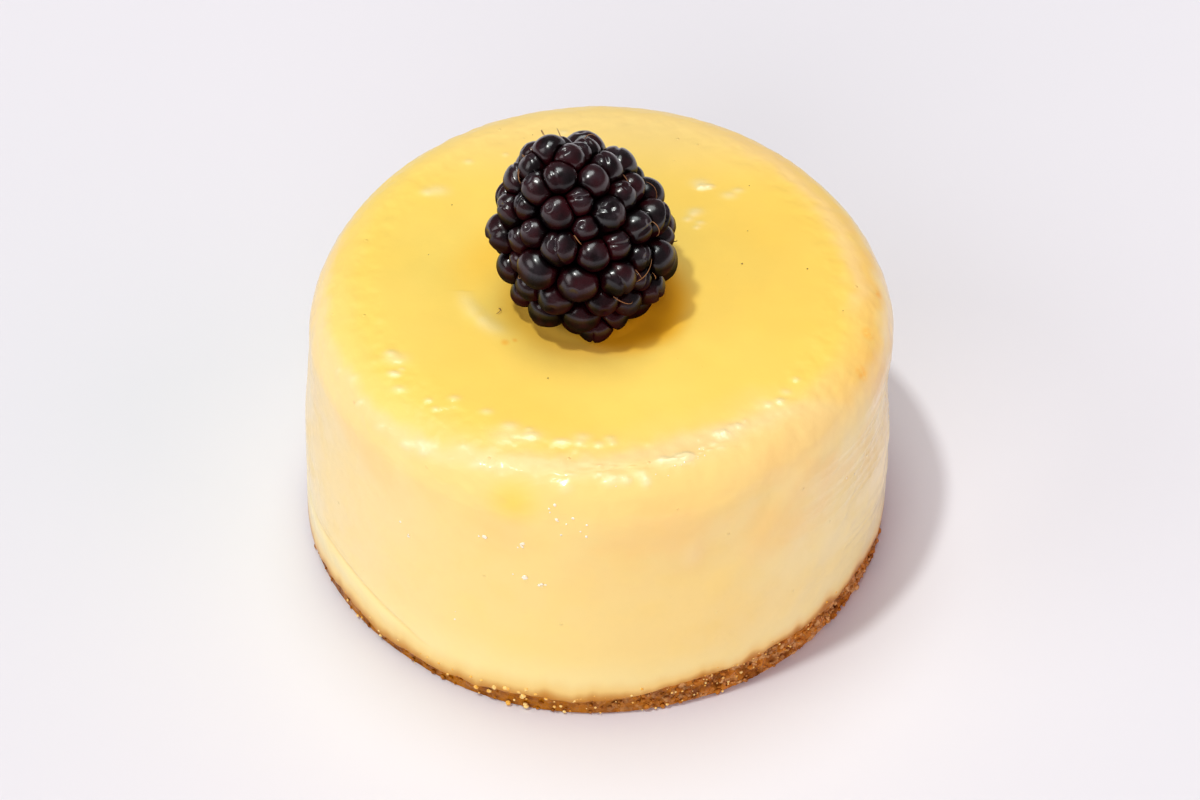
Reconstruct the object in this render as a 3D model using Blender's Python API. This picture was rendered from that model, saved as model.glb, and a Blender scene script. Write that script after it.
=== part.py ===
"""A small round cheesecake for one person: biscuit base, cheesecake filling, a yellow fruit glaze
over the top and one dark bramble berry standing on it. Metres, +Z up, origin at the centre of the foot.

Every turned layer is built from rings of points. A ring is a function of the angle round the cake, so
the hand-made unevenness of the outside runs through all the layers that show there."""

import math

import bpy
import numpy as np
from mathutils import Matrix, Vector, noise

MM = 0.001
GAP = 0.3 * MM  # clearance between pieces that rest on each other

# The cake, from the foot up
FOOT_RADIUS = 39.2 * MM
SHOULDER_RADIUS = 38.6 * MM
CAKE_HEIGHT = 42.0 * MM
EDGE_ROUNDING = 6.5 * MM
CAKE_SIDES = 76

BISCUIT_HEIGHT = 4.6 * MM
BISCUIT_INSET = 0.45 * MM  # how far the biscuit stands back from the filling
INNER_RADIUS = 0.8 * FOOT_RADIUS  # the biscuit's top is level out to here, and follows layer_line from here on
CRUMB_RELIEF = 0.45 * MM
CRUMB_SIZE = 1.6 * MM

GLAZE_ON_TOP = 1.4 * MM
GLAZE_AT_EDGE = 0.5 * MM
GLAZE_EDGE_ANGLE = math.radians(44)  # where the glaze ends on the rounded edge, up from its start at the side

# The berry: its widest level is an ellipse of centres that the drupelets sit on
BERRY_PLACE = Vector((-2.1 * MM, -2.2 * MM, 0.0))
BERRY_WIDTH = 24.2 * MM
BERRY_RISE = 16.4 * MM  # from the widest level to the tip
BERRY_DROP = 12.0 * MM  # from the widest level to where its round foot would end
BERRY_FOOT = 9.9 * MM  # from the widest level to the flat hull end that it stands on
DRUPELETS = 84
DRUPELET_RADIUS = (1.75 * MM, 2.90 * MM)
LOW_DRUPELET = ((1.5 * MM, -8.0 * MM, -7.3 * MM), 2.3 * MM)  # place and radius of the one that sticks out at the front
BERRY_TAPER = 0.24  # share by which the berry is narrower at its tip
BERRY_LEAN = -0.295  # sideways shift of the tip for each length of height
TIP_TAPER = 0.18  # how much smaller the drupelets at the tip are
DRUPELET_LENGTH = 1.08  # along the way it points, as a share of its width
CROWDING = 0.92  # how far apart the drupelets push, as a share of their radii together
CREASE_FILL = 0.7 * MM  # how far the core comes up between the drupelets
SETTLING = (160, 0.30)  # rounds of pushing, and the share of each overlap that a round takes away
BERRY_SEED = 7
DENT_DEPTH = 0.6 * MM  # how far the berry's weight pushes the glaze down
DENT_RADIUS = 13.5 * MM


def smooth_step(low, high, value):
    """0 below low, 1 above high, and an even S between."""
    share = np.clip((value - low) / (high - low), 0.0, 1.0)
    return share * share * (3.0 - 2.0 * share)


def near_angle(theta, centre, width):
    """1 at the centre angle, falling to 0 at width to either side."""
    away = np.abs((theta - centre + np.pi) % (2.0 * np.pi) - np.pi)
    return 1.0 - smooth_step(0.0, width, away)


def unevenness(theta, z):
    """How far the hand-made outside stands out from a true turned shape at that angle and height."""
    lumps = (
        0.20 * np.cos(2.0 * theta - 0.6)
        + 0.14 * np.cos(3.0 * theta + 1.1)
        + 0.20 * np.cos(4.0 * theta)
        + 0.07 * np.cos(7.0 * theta + 0.4)
    )
    left_bulge = 0.55 * near_angle(theta, np.pi, 0.9) * (1.0 - smooth_step(19.0 * MM, 27.0 * MM, z))
    left_slope = -0.55 * near_angle(theta, 2.8, 1.0) * smooth_step(25.0 * MM, 34.0 * MM, z)
    right_waist = -0.90 * near_angle(theta, 0.0, 0.9) * np.exp(-(((z - 28.0 * MM) / (7.5 * MM)) ** 2))
    back_roll = 0.40 * near_angle(theta, 1.05, 0.9) * smooth_step(30.0 * MM, 37.0 * MM, z)
    return MM * (lumps + left_bulge + left_slope + right_waist + back_roll)


def side_radius(z):
    """The cake widens a little from its shoulder to its foot."""
    return FOOT_RADIUS + (SHOULDER_RADIUS - FOOT_RADIUS) * np.minimum(z / (CAKE_HEIGHT - EDGE_ROUNDING), 1.0)


def top_dent(x, y):
    """The shallow bowl that the berry stands in, with a faint raised lip."""
    away = np.hypot(x - BERRY_PLACE.x, y - BERRY_PLACE.y)
    bowl = -DENT_DEPTH * (1.0 - smooth_step(0.75 * DENT_RADIUS, DENT_RADIUS, away))
    lip = 0.3 * DENT_DEPTH * np.exp(-(((away - 1.12 * DENT_RADIUS) / (1.4 * MM)) ** 2))
    return bowl + lip


def glaze_edge(theta):
    """The wavy line, as an angle on the rounded edge, where the glaze stops. It lies high along the front right."""
    wave = 3.0 * np.sin(3.0 * theta + 0.5) + 2.5 * np.sin(5.0 * theta + 2.0)
    away = np.abs((theta - math.radians(-67) + np.pi) % (2.0 * np.pi) - np.pi)
    front_right = 30.0 * (1.0 - smooth_step(0.30, 0.95, away))
    drip = 9.0 * near_angle(theta, math.radians(-109), 0.35)
    return GLAZE_EDGE_ANGLE + np.radians(wave + front_right - drip)


def layer_line(theta):
    """Height where the filling meets the biscuit at the outside. The filling hangs lower on the left."""
    from_left = np.abs((theta + math.radians(150) + np.pi) % (2.0 * np.pi) - np.pi)
    sag = 0.3 + 2.6 * (1.0 - smooth_step(0.4, 1.75, from_left))
    rise = 0.5 * near_angle(theta, math.radians(-52), 0.5)
    wave = 0.25 * np.sin(9.0 * theta) + 0.2 * np.sin(14.0 * theta + 1.0)
    return BISCUIT_HEIGHT + MM * (rise - sag + wave)


def angles():
    """The angles of a ring's points."""
    return np.linspace(0.0, 2.0 * np.pi, CAKE_SIDES, endpoint=False)


def ring(radius, z):
    """A ring of points at a radius and height, each a number or an array over the angles."""
    theta = angles()
    r = np.broadcast_to(radius, theta.shape)
    return np.stack([r * np.cos(theta), r * np.sin(theta), np.broadcast_to(z, theta.shape)], axis=1)


def ring_on_side(z, inset=0.0):
    """A ring on the upright side, inset from the outer surface."""
    theta = angles()
    return ring(side_radius(z) + unevenness(theta, z) - inset, z)


def ring_on_edge(angle, depth=0.0):
    """A ring on the rounded top edge. The angle runs from 0 at the side to a right angle at the flat top."""
    theta = angles()
    z = CAKE_HEIGHT - EDGE_ROUNDING + (EDGE_ROUNDING - depth) * np.sin(angle)
    inner = SHOULDER_RADIUS - EDGE_ROUNDING + unevenness(theta, z) * np.cos(angle)
    return ring(inner + (EDGE_ROUNDING - depth) * np.cos(angle), z)


def ring_on_top(share, depth=0.0):
    """A ring on the flat top, at a share of the way from the middle to the rounded edge."""
    points = ring(share * (SHOULDER_RADIUS - EDGE_ROUNDING), CAKE_HEIGHT - depth)
    points[:, 2] += top_dent(points[:, 0], points[:, 1])
    return points


def pole(z, dented=False):
    """The single point on the axis that closes a turned solid."""
    dent = float(top_dent(0.0, 0.0)) if dented else 0.0
    return np.array([0.0, 0.0, z + dent])


def turned_solid(name, bottom, rings, top):
    """A closed solid from a bottom pole, rings from the bottom pole outwards and up, and a top pole."""
    count = len(rings[0])
    verts = np.concatenate([bottom[None], *rings, top[None]])
    last = len(verts) - 1
    following = [(i + 1) % count for i in range(count)]
    faces = [(0, 1 + following[i], 1 + i) for i in range(count)]
    for row in range(len(rings) - 1):
        low, high = 1 + row * count, 1 + (row + 1) * count
        faces += [(low + i, low + following[i], high + following[i], high + i) for i in range(count)]
    end = 1 + (len(rings) - 1) * count
    faces += [(end + i, end + following[i], last) for i in range(count)]
    mesh = bpy.data.meshes.new(name)
    mesh.from_pydata(verts.tolist(), [], faces)
    mesh.validate()
    mesh.shade_smooth()
    mesh.set_sharp_from_angle(angle=math.radians(40))
    return link(bpy.data.objects.new(name, mesh))


def link(piece):
    """Puts a new object in the scene."""
    bpy.context.scene.collection.objects.link(piece)
    return piece


def finish(piece, colour, roughness, coat=0.0):
    """Gives a piece its own plain material."""
    material = bpy.data.materials.new(piece.name)
    material.use_nodes = True
    shader = material.node_tree.nodes["Principled BSDF"]
    shader.inputs["Base Color"].default_value = (*colour, 1.0)
    shader.inputs["Roughness"].default_value = roughness
    shader.inputs["Metallic"].default_value = 0.0
    shader.inputs["Coat Weight"].default_value = coat
    piece.data.materials.clear()
    piece.data.materials.append(material)
    return piece


def crumbled(points):
    """Pushes a ring's points in and out as broken biscuit crumbs."""
    rough = points.copy()
    for i, point in enumerate(points):
        place = Vector(point) / CRUMB_SIZE
        rough[i, :2] *= 1.0 + CRUMB_RELIEF * (noise.noise(place) - 0.3) / FOOT_RADIUS
    return rough


def biscuit_base():
    """The pressed crumb layer, flat underneath, with a crumbled side."""
    line = layer_line(angles())
    foot_chamfer = 0.5 * MM
    rings = [ring(INNER_RADIUS, 0.0), ring_on_side(0.0, BISCUIT_INSET + foot_chamfer)]
    for share in (0.12, 0.38, 0.62, 0.86):
        rings.append(crumbled(ring_on_side(share * line, BISCUIT_INSET)))
    top_rounding = 0.35 * MM
    rings.append(crumbled(ring_on_side(line, BISCUIT_INSET + top_rounding)))
    rings.append(ring(INNER_RADIUS, BISCUIT_HEIGHT))
    piece = turned_solid("biscuit_base", pole(0.0), rings, pole(BISCUIT_HEIGHT))
    return finish(piece, (0.36, 0.17, 0.05), 0.85)


def cheesecake_filling():
    """The pale filling, which runs through from the biscuit to the underside of the glaze."""
    theta = angles()
    line = layer_line(theta) + GAP
    edge = glaze_edge(theta)
    shoulder = CAKE_HEIGHT - EDGE_ROUNDING
    lip = 0.4 * MM
    rings = [ring(INNER_RADIUS, BISCUIT_HEIGHT + GAP), ring_on_side(line, BISCUIT_INSET + lip)]
    rings.append(ring_on_side(line + lip))
    for share in (0.22, 0.44, 0.62, 0.76, 0.90):
        rings.append(ring_on_side(line + share * (shoulder - line)))
    for share in (0.0, 0.5):
        rings.append(ring_on_edge(share * edge))
    bare_edge = edge - GAP / EDGE_ROUNDING
    rings.append(ring_on_edge(bare_edge))
    for share in (0.0, 0.35, 0.70, 1.0):
        angle = bare_edge + share * (np.pi / 2.0 - bare_edge)
        cover = GLAZE_AT_EDGE + share * (GLAZE_ON_TOP - GLAZE_AT_EDGE)
        rings.append(ring_on_edge(angle, cover + GAP))
    cover = GLAZE_ON_TOP + GAP
    for share in (0.78, 0.55, 0.32, 0.14):
        rings.append(ring_on_top(share, cover))
    piece = turned_solid(
        "cheesecake_filling",
        pole(BISCUIT_HEIGHT + GAP),
        rings,
        pole(CAKE_HEIGHT - cover, dented=True),
    )
    return finish(piece, (0.90, 0.68, 0.33), 0.45, coat=0.3)


def glaze_top():
    """The yellow glaze: a thin lid that laps over the rounded edge and thins to a soft wavy rim."""
    edge = glaze_edge(angles())
    turn = np.pi / 2.0 - edge
    rings = [ring_on_top(share, GLAZE_ON_TOP) for share in (0.14, 0.32, 0.55, 0.78)]
    for share in (1.0, 0.70, 0.35, 0.0):
        cover = GLAZE_AT_EDGE + share * (GLAZE_ON_TOP - GLAZE_AT_EDGE)
        rings.append(ring_on_edge(edge + share * turn, cover))
    for share in (0.0, 0.25, 0.5, 0.75, 1.0):
        rings.append(ring_on_edge(edge + share * turn))
    rings += [ring_on_top(share) for share in (0.80, 0.62, 0.46, 0.30, 0.14)]
    piece = turned_solid(
        "glaze_top",
        pole(CAKE_HEIGHT - GLAZE_ON_TOP, dented=True),
        rings,
        pole(CAKE_HEIGHT, dented=True),
    )
    return finish(piece, (0.93, 0.65, 0.13), 0.2, coat=0.8)


def berry_surface(directions, across, rise, drop):
    """Where directions from the widest level's centre meet an egg: one ellipsoid above it, a shorter one below."""
    tall = np.where(directions[:, 2] > 0.0, rise, drop)
    flat = (directions[:, 0] ** 2 + directions[:, 1] ** 2) / across**2
    return directions / np.sqrt(flat + (directions[:, 2] / tall) ** 2)[:, None]


def leaning_form(points):
    """The egg's points made narrower towards the tip and the foot. Above the widest level they lean to the left,
    more and more towards the tip."""
    height = points[:, 2:]
    tip = BERRY_TAPER * smooth_step(0.0, BERRY_RISE, height)
    foot = 0.06 * smooth_step(0.3, 1.0, -height / BERRY_DROP)
    shift = np.maximum(height, 0.0) * (0.35 + 0.65 * height / BERRY_RISE) * (BERRY_LEAN, 0.0)
    return np.concatenate([points[:, :2] * (1.0 - tip - foot) + shift, height], axis=1)


def drupelet_packing():
    """Places and radii of the drupelets: a golden spiral of unequal balls, pushed apart over the egg until they settle.

    The random draws are seeded, so the berry is the same each time."""
    rng = np.random.default_rng(BERRY_SEED)
    radii = rng.uniform(*DRUPELET_RADIUS, DRUPELETS)
    mean = radii.mean()
    egg = (BERRY_WIDTH / 2.0 - mean, BERRY_RISE - mean, BERRY_DROP - mean)
    lowest = 1.08 * radii - BERRY_FOOT
    count = np.arange(DRUPELETS)
    height = 1.0 - (count + 0.5) / DRUPELETS * (1.0 + BERRY_FOOT / BERRY_DROP)
    turn = count * np.pi * (3.0 - math.sqrt(5.0)) + rng.normal(0.0, 0.12, DRUPELETS)
    flat = np.sqrt(1.0 - height**2)
    points = berry_surface(np.stack([flat * np.cos(turn), flat * np.sin(turn), height], axis=1), *egg)
    radii *= 1.0 - TIP_TAPER * smooth_step(0.3, 1.0, points[:, 2] / egg[1])
    rounds, give = SETTLING
    for _ in range(rounds):
        apart = points[:, None] - points[None]
        distance = np.linalg.norm(apart, axis=2) + np.eye(DRUPELETS)
        overlap = np.clip(CROWDING * (radii[:, None] + radii[None]) - distance, 0.0, None)
        np.fill_diagonal(overlap, 0.0)
        push = (apart / distance[..., None] * overlap[..., None]).sum(axis=1)
        points = berry_surface(points + give * push, *egg)
        points[:, 2] = np.maximum(points[:, 2], lowest)
    stand_out = rng.normal(0.0, 0.25 * MM, DRUPELETS)
    unit = points / np.linalg.norm(points, axis=1)[:, None]
    points = leaning_form(points + unit * stand_out[:, None])
    low_place, low_radius = LOW_DRUPELET
    return np.concatenate([points, [low_place]]), np.append(radii, low_radius)


def ball(name, scale, place, way, collection, detail=2):
    """A small ellipsoid whose long axis points along way."""
    bpy.ops.mesh.primitive_ico_sphere_add(subdivisions=detail, radius=1.0)
    piece = bpy.context.object
    piece.name = name
    turn = way.to_track_quat("Z", "Y").to_matrix().to_4x4()
    piece.data.transform(Matrix.Translation(place) @ turn @ Matrix.Diagonal((*scale, 1.0)))
    for owner in list(piece.users_collection):
        owner.objects.unlink(piece)
    collection.objects.link(piece)
    return piece


def bramble_berry():
    """The dark berry: a core with a drupelet fused on at every place of the packing, on a flat hull end."""
    centre = BERRY_PLACE + Vector((0.0, 0.0, CAKE_HEIGHT - DENT_DEPTH + GAP + BERRY_FOOT))
    points, radii = drupelet_packing()
    parts = bpy.data.collections.new("drupelets")
    bpy.context.scene.collection.children.link(parts)
    for i, (point, radius) in enumerate(zip(points, radii)):
        place = Vector(point)
        scale = (radius, radius, radius * DRUPELET_LENGTH)
        ball(f"drupelet_{i}", scale, centre + place, place.normalized(), parts)
    holder = bpy.data.collections.new("core")
    bpy.context.scene.collection.children.link(holder)
    relief = sum(DRUPELET_RADIUS) / 2.0 - CREASE_FILL
    across = BERRY_WIDTH / 2.0 - relief
    rise = BERRY_RISE - relief
    core = ball("bramble_berry", (across, across, rise), centre, Vector((0, 0, 1)), holder, 3)
    core_foot = centre.z - BERRY_FOOT + 0.4 * MM
    for vertex in core.data.vertices:
        if vertex.co.z < centre.z:
            below = (vertex.co.z - centre.z) * (BERRY_DROP - relief) / rise
            vertex.co.z = max(centre.z + below, core_foot)
    middle = np.array(centre)
    form = leaning_form(np.array([vertex.co for vertex in core.data.vertices]) - middle) + middle
    core.data.vertices.foreach_set("co", form.astype(np.float32).ravel())
    join = core.modifiers.new("fuse", "BOOLEAN")
    join.operation = "UNION"
    join.operand_type = "COLLECTION"
    join.collection = parts
    join.solver = "EXACT"
    bpy.context.view_layer.objects.active = core
    bpy.ops.object.modifier_apply(modifier=join.name)
    for piece in list(parts.objects):
        bpy.data.objects.remove(piece)
    core.data.shade_smooth()
    return finish(core, (0.020, 0.006, 0.010), 0.25, coat=0.6)


def main():
    for old in list(bpy.data.objects):
        bpy.data.objects.remove(old)
    biscuit_base()
    cheesecake_filling()
    glaze_top()
    bramble_berry()


main()
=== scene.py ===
"""The looks of a small round cheesecake: crumb biscuit, pale filling, yellow fruit glaze and one bramble berry.

The file is laid out as an add-on and is run as a script. Lengths are metres, +Z is up and the origin is the
centre of the foot. Angles round the cake start at +X, so the front, at -Y, is at minus a right angle."""

import math

import bpy
import numpy as np
from mathutils import Matrix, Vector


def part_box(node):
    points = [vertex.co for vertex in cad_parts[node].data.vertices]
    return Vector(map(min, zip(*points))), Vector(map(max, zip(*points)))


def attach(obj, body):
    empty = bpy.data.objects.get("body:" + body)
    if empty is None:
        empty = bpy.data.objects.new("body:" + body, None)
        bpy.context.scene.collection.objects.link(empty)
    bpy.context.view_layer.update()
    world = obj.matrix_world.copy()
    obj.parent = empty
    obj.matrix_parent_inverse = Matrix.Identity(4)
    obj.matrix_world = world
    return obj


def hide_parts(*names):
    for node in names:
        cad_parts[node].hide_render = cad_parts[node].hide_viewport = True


bl_info = {
    "name": "Single cheesecake",
    "version": (1, 0, 0),
    "blender": (4, 5, 0),
    "location": "3D View > Sidebar > Cheesecake",
    "description": "Makes a small glazed cheesecake with a bramble berry, and a plain studio round it",
    "category": "Add Mesh",
}

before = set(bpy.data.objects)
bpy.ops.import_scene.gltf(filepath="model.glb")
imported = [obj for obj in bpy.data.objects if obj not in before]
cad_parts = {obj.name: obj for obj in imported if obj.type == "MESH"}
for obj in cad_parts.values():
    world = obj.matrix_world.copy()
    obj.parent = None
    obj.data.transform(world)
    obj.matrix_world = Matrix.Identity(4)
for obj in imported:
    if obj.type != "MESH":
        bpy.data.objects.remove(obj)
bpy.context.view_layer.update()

MM = 0.001
UP = np.array([0.0, 0.0, 1.0])
FOOT_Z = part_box("biscuit_base")[0].z


# ---------------------------------------------------------------- what a user would change


def a_length(name, description, millimetres):
    """A length for the panel."""
    return bpy.props.FloatProperty(name=name, description=description, default=millimetres * MM, unit="LENGTH")


def a_number(name, description, default):
    """A plain number for the panel."""
    return bpy.props.FloatProperty(name=name, description=description, default=default)


def a_count(name, description, default):
    """A whole number for the panel."""
    return bpy.props.IntProperty(name=name, description=description, default=default)


def a_colour(name, description, *default):
    """A colour for the panel."""
    return bpy.props.FloatVectorProperty(name=name, description=description, default=default, subtype="COLOR")


class CakeSizes(bpy.types.PropertyGroup):
    """Driving dimensions of the three layers."""

    foot_radius: a_length("Foot radius", "Radius of the side at the foot", 39.2)
    shoulder_radius: a_length("Shoulder radius", "Radius where the rounded edge starts", 38.6)
    height: a_length("Height", "From the foot to the top of the glaze", 42.0)
    rounding: a_length("Edge rounding", "Radius of the rounded top edge", 6.5)
    biscuit: a_length("Biscuit height", "Thickness of the crumb layer", 4.6)
    inset: a_length("Biscuit inset", "How far the crumbs stand back", 0.45)
    glaze: a_length("Glaze thickness", "Thickness of the glaze on top", 1.4)
    glaze_rim: a_length("Glaze rim", "Thickness of the glaze where it ends", 0.02)
    gap: a_length("Layer gap", "Clearance between hidden faces", 0.03)
    around: a_count("Points around", "Points in a ring of the cake's skin", 620)


class BerrySizes(bpy.types.PropertyGroup):
    """Driving dimensions of the berry."""

    place: bpy.props.FloatVectorProperty(
        name="Place", description="Where the berry stands", default=(-2.1 * MM, -2.2 * MM), size=2, unit="LENGTH"
    )
    width: a_length("Width", "Width at the widest level", 24.2)
    rise: a_length("Rise", "From the widest level to the tip", 16.4)
    drop: a_length("Drop", "From the widest level to the round foot's end", 12.0)
    foot: a_length("Foot", "From the widest level to the flat hull end", 9.9)
    level: a_length("Level", "Height of the widest level over the cake's foot", 51.6)
    taper: a_number("Taper", "Share by which the tip is narrower", 0.24)
    lean: a_number("Lean", "Sideways shift of the tip for each length of height", -0.295)
    swelling: a_number("Swelling", "How much wider the drupelets are than their places", 1.08)
    drupelets: a_count("Drupelets", "Number of drupelets on the berry", 84)
    least: a_length("Least drupelet", "Smallest radius drawn", 1.75)
    most: a_length("Most drupelet", "Largest radius drawn", 2.90)
    hairs: a_count("Dried styles", "Number of thin hairs between the drupelets", 38)


class Colours(bpy.types.PropertyGroup):
    """Colours of the finishes."""

    cream: a_colour("Filling", "Side of the filling", 0.95, 0.73, 0.25)
    # Painted sheen: a pale stretch on the rim where the wet glaze would mirror the lights.
    painted_sheen_cream: a_colour("Wet band", "The pale wet band under the glaze", 0.95, 0.68, 0.30)
    # Painted shade: a darker colour laid on the front of the rounded edge, which catches more light than the side or
    # top.
    edge: a_colour("Front edge", "The front of the rounded edge", 0.85, 0.585, 0.20)
    # Painted light: a paler cream laid on the left, where the window light falls, on the small lump at the front
    # right, and as sheen at the back of the top.
    painted_light_cream: a_colour("Pale filling", "Filling on the left", 0.95, 0.735, 0.33)
    cream_light: a_colour("Light filling", "Filling on the right and just above the biscuit", 0.95, 0.84, 0.38)
    # Painted reflection: the palest cream at the far right edge, where a grazing sheen shows.
    far_right_painted_sheen: a_colour("Palest filling", "Filling at the far right", 1.0, 0.92, 0.56)
    peach: a_colour("Peach filling", "Warmer patches high on the side", 0.96, 0.63, 0.21)
    # Crumb staining and painted shade: brown on the cream just above the crumbs, partly real and partly painted shade
    # and warm reflection at the foot.
    stain_and_painted_shade: a_colour("Stain", "Filling tinted by the crumbs", 0.82, 0.46, 0.08)
    glaze: a_colour("Glaze", "The yellow glaze", 0.97, 0.71, 0.150)
    drip: a_colour("Drip", "The short run of glaze on the front", 0.95, 0.63, 0.12)
    glaze_deep: a_colour("Deep glaze", "The glaze where it is thicker", 0.97, 0.63, 0.095)
    # Painted shade: a deeper orange on the glaze where the berry's shadow falls and under its overhang.
    glaze_painted_shade: a_colour("Pooled glaze", "The glaze round the berry's foot", 1.0, 0.48, 0.0)
    # Painted highlight: pale glints laid on the small wet lumps and on the arc by the berry.
    lumps_and_painted_glint: a_colour("Gleams", "Small wet lumps of the glaze", 0.99, 0.87, 0.50)
    caramel: a_colour("Caramel", "Small darker spots of the glaze", 0.94, 0.46, 0.04)
    syrup: a_colour("Syrup", "Crumbs and cream soaked in brown syrup", 0.46, 0.16, 0.004)
    biscuit: a_colour("Biscuit", "Most of the crumbs", 0.60, 0.22, 0.024)
    biscuit_dark: a_colour("Dark biscuit", "Moist and dark crumbs", 0.25, 0.075, 0.007)
    biscuit_light: a_colour("Light biscuit", "Pale and dusty crumbs", 0.72, 0.40, 0.15)
    berry: a_colour("Berry", "Most of the berry's skin", 0.0016, 0.0005, 0.0009)
    berry_red: a_colour("Red berry", "Where the skin is thin and red", 0.024, 0.0015, 0.0032)
    # Partly a dusty film and partly painted sheen: a greyish colour on the drupelets' tips that look up.
    bloom_and_painted_sheen: a_colour("Bloom", "Greyish bloom at the drupelets' tips", 0.030, 0.021, 0.026)
    style: a_colour("Dried style", "The hairs of the berry", 0.42, 0.20, 0.07)
    style_dark: a_colour("Dark style", "Darker stretches of the hairs", 0.16, 0.06, 0.025)
    # Sugar and painted glints: golden grains whose colour also stands in for glints on the foot.
    sugar: a_colour("Sugar", "Golden grains of sugar", 0.90, 0.46, 0.05)
    sugar_pale: a_colour("Pale sugar", "Paler grains of sugar", 1.0, 0.74, 0.26)
    # Painted highlight: near-white beads that stand in for sparkling glints.
    painted_glint_bead: a_colour("Wet bead", "Clear beads on the skin", 1.0, 0.98, 0.86)
    painted_glint_bead_yellow: a_colour("Yellow bead", "Beads that the glaze tints", 0.98, 0.88, 0.60)
    speck: a_colour("Speck", "Dark specks in the glaze", 0.16, 0.09, 0.015)
    speck_pale: a_colour("Pale speck", "Paler parts of the specks", 0.40, 0.22, 0.03)
    floor: a_colour("Floor", "The pale floor", 0.775, 0.775, 0.82)
    floor_shade: a_colour("Floor's shade", "Faint wide patches of the floor", 0.763375, 0.763375, 0.8077)


class StudioLight(bpy.types.PropertyGroup):
    """Lights of the plain studio."""

    key: a_number("Key", "Strength of both lights from above", 1.0)
    fill: a_number("Fills", "Strength of the window and of both soft fills", 1.0)
    sky: a_number("Room", "Brightness of the room", 0.12)


class CheesecakeSettings(bpy.types.PropertyGroup):
    """Everything that the panel shows."""

    sizes: bpy.props.PointerProperty(type=CakeSizes, name="Cake", description="Sizes of the cake")
    berry: bpy.props.PointerProperty(type=BerrySizes, name="Berry", description="Sizes of the berry")
    colours: bpy.props.PointerProperty(type=Colours, name="Colours", description="Colours of the finishes")
    light: bpy.props.PointerProperty(type=StudioLight, name="Light", description="Lights of the studio")


def settings():
    """The settings of the open scene."""
    return bpy.context.scene.cheesecake


# ---------------------------------------------------------------- numbers over a surface

TABLE = 4096  # random numbers in a noise's table
PRIMES = (73856093, 19349663, 83492791)  # one for each axis, to mix a cell's whole numbers


def smooth_step(low, high, value):
    """0 below low, 1 above high, and an even S between."""
    share = np.clip((value - low) / (high - low), 0.0, 1.0)
    return share * share * (3.0 - 2.0 * share)


def fade(full, gone, value):
    """1 below full, 0 above gone, and an even S between."""
    return 1.0 - smooth_step(full, gone, value)


def window(value, low, full, fading, gone):
    """1 from full to fading, and 0 below low and above gone, with an even S on either side."""
    return smooth_step(low, full, value) * fade(fading, gone, value)


def near_angle(theta, centre, width, full=0.0):
    """1 as far as full from the centre angle, falling to 0 at width to either side."""
    away = np.abs((theta - centre + np.pi) % (2.0 * np.pi) - np.pi)
    return fade(full, width, away)


def bell(offset, width):
    """A bell curve: e to the power of the negative square of offset over width."""
    return np.exp(-((offset / width) ** 2))


def lattice_keys(cells):
    """A fixed row of the table for each cell of a lattice of cubes."""
    return (cells[..., 0] * PRIMES[0] ^ cells[..., 1] * PRIMES[1] ^ cells[..., 2] * PRIMES[2]) % TABLE


def soft_noise(points, size, seed):
    """Smooth noise from -1 to 1: random numbers at the corners of a lattice of cubes, blended by an even S."""
    table = np.random.default_rng(seed).uniform(-1.0, 1.0, TABLE)
    cells = points / size
    base = np.floor(cells)
    share = smooth_step(0.0, 1.0, cells - base)
    base = base.astype(np.int64)
    total = np.zeros(points.shape[:-1])
    for corner in np.ndindex(2, 2, 2):
        corner = np.array(corner)
        weight = np.prod(np.where(corner == 1, share, 1.0 - share), axis=-1)
        total += weight * table[lattice_keys(base + corner)]
    return total


def layered_noise(points, size, seed):
    """Three layers of soft noise, each half as wide and half as strong as the one before."""
    return sum(soft_noise(points, size / 2**layer, seed + layer) / 2**layer for layer in range(3))


def grains(points, size, seed):
    """Rounded grains, 1 at a grain's middle and 0 in the cracks: each cube of a lattice holds one middle drawn
    at random, and the value is one less the distance to the nearest middle over that to the second nearest."""
    table = np.random.default_rng(seed).uniform(0.1, 0.9, (TABLE, 3))
    cells = points / size
    base = np.floor(cells).astype(np.int64)
    nearest = np.full(points.shape[:-1], 9.0)
    second = nearest.copy()
    for step in np.ndindex(3, 3, 3):
        cube = base + np.array(step) - 1
        away = np.linalg.norm(cells - cube - table[lattice_keys(cube)], axis=-1)
        second = np.minimum(second, np.maximum(nearest, away))
        nearest = np.minimum(nearest, away)
    return 1.0 - nearest / second


def unit(vectors):
    """Vectors of length one."""
    return vectors / np.linalg.norm(vectors, axis=-1, keepdims=True)


def ring_angles(count):
    """The angles of a ring of points, as one row."""
    return np.linspace(0.0, 2.0 * np.pi, count, endpoint=False)[None]


def steps(count, low=0.0, high=1.0):
    """Evenly spaced numbers, as one column."""
    return np.linspace(low, high, count)[:, None]


def each(values):
    """Numbers of many skins, one for each, set out to go with their rings and points."""
    return values[:, None, None]


def neighbours(points):
    """The distance from every point to every other, and for each point the numbers of all, the nearest first."""
    distance = np.linalg.norm(points[:, None] - points[None], axis=2)
    return distance, np.argsort(distance, axis=1)


# ---------------------------------------------------------------- the plain turned shape, as in the solids


def shoulder_z():
    """Height at which the rounded edge starts."""
    sizes = settings().sizes
    return sizes.height - sizes.rounding


def top_radius():
    """Radius at which the rounded edge runs out into the level top."""
    sizes = settings().sizes
    return sizes.shoulder_radius - sizes.rounding


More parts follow.
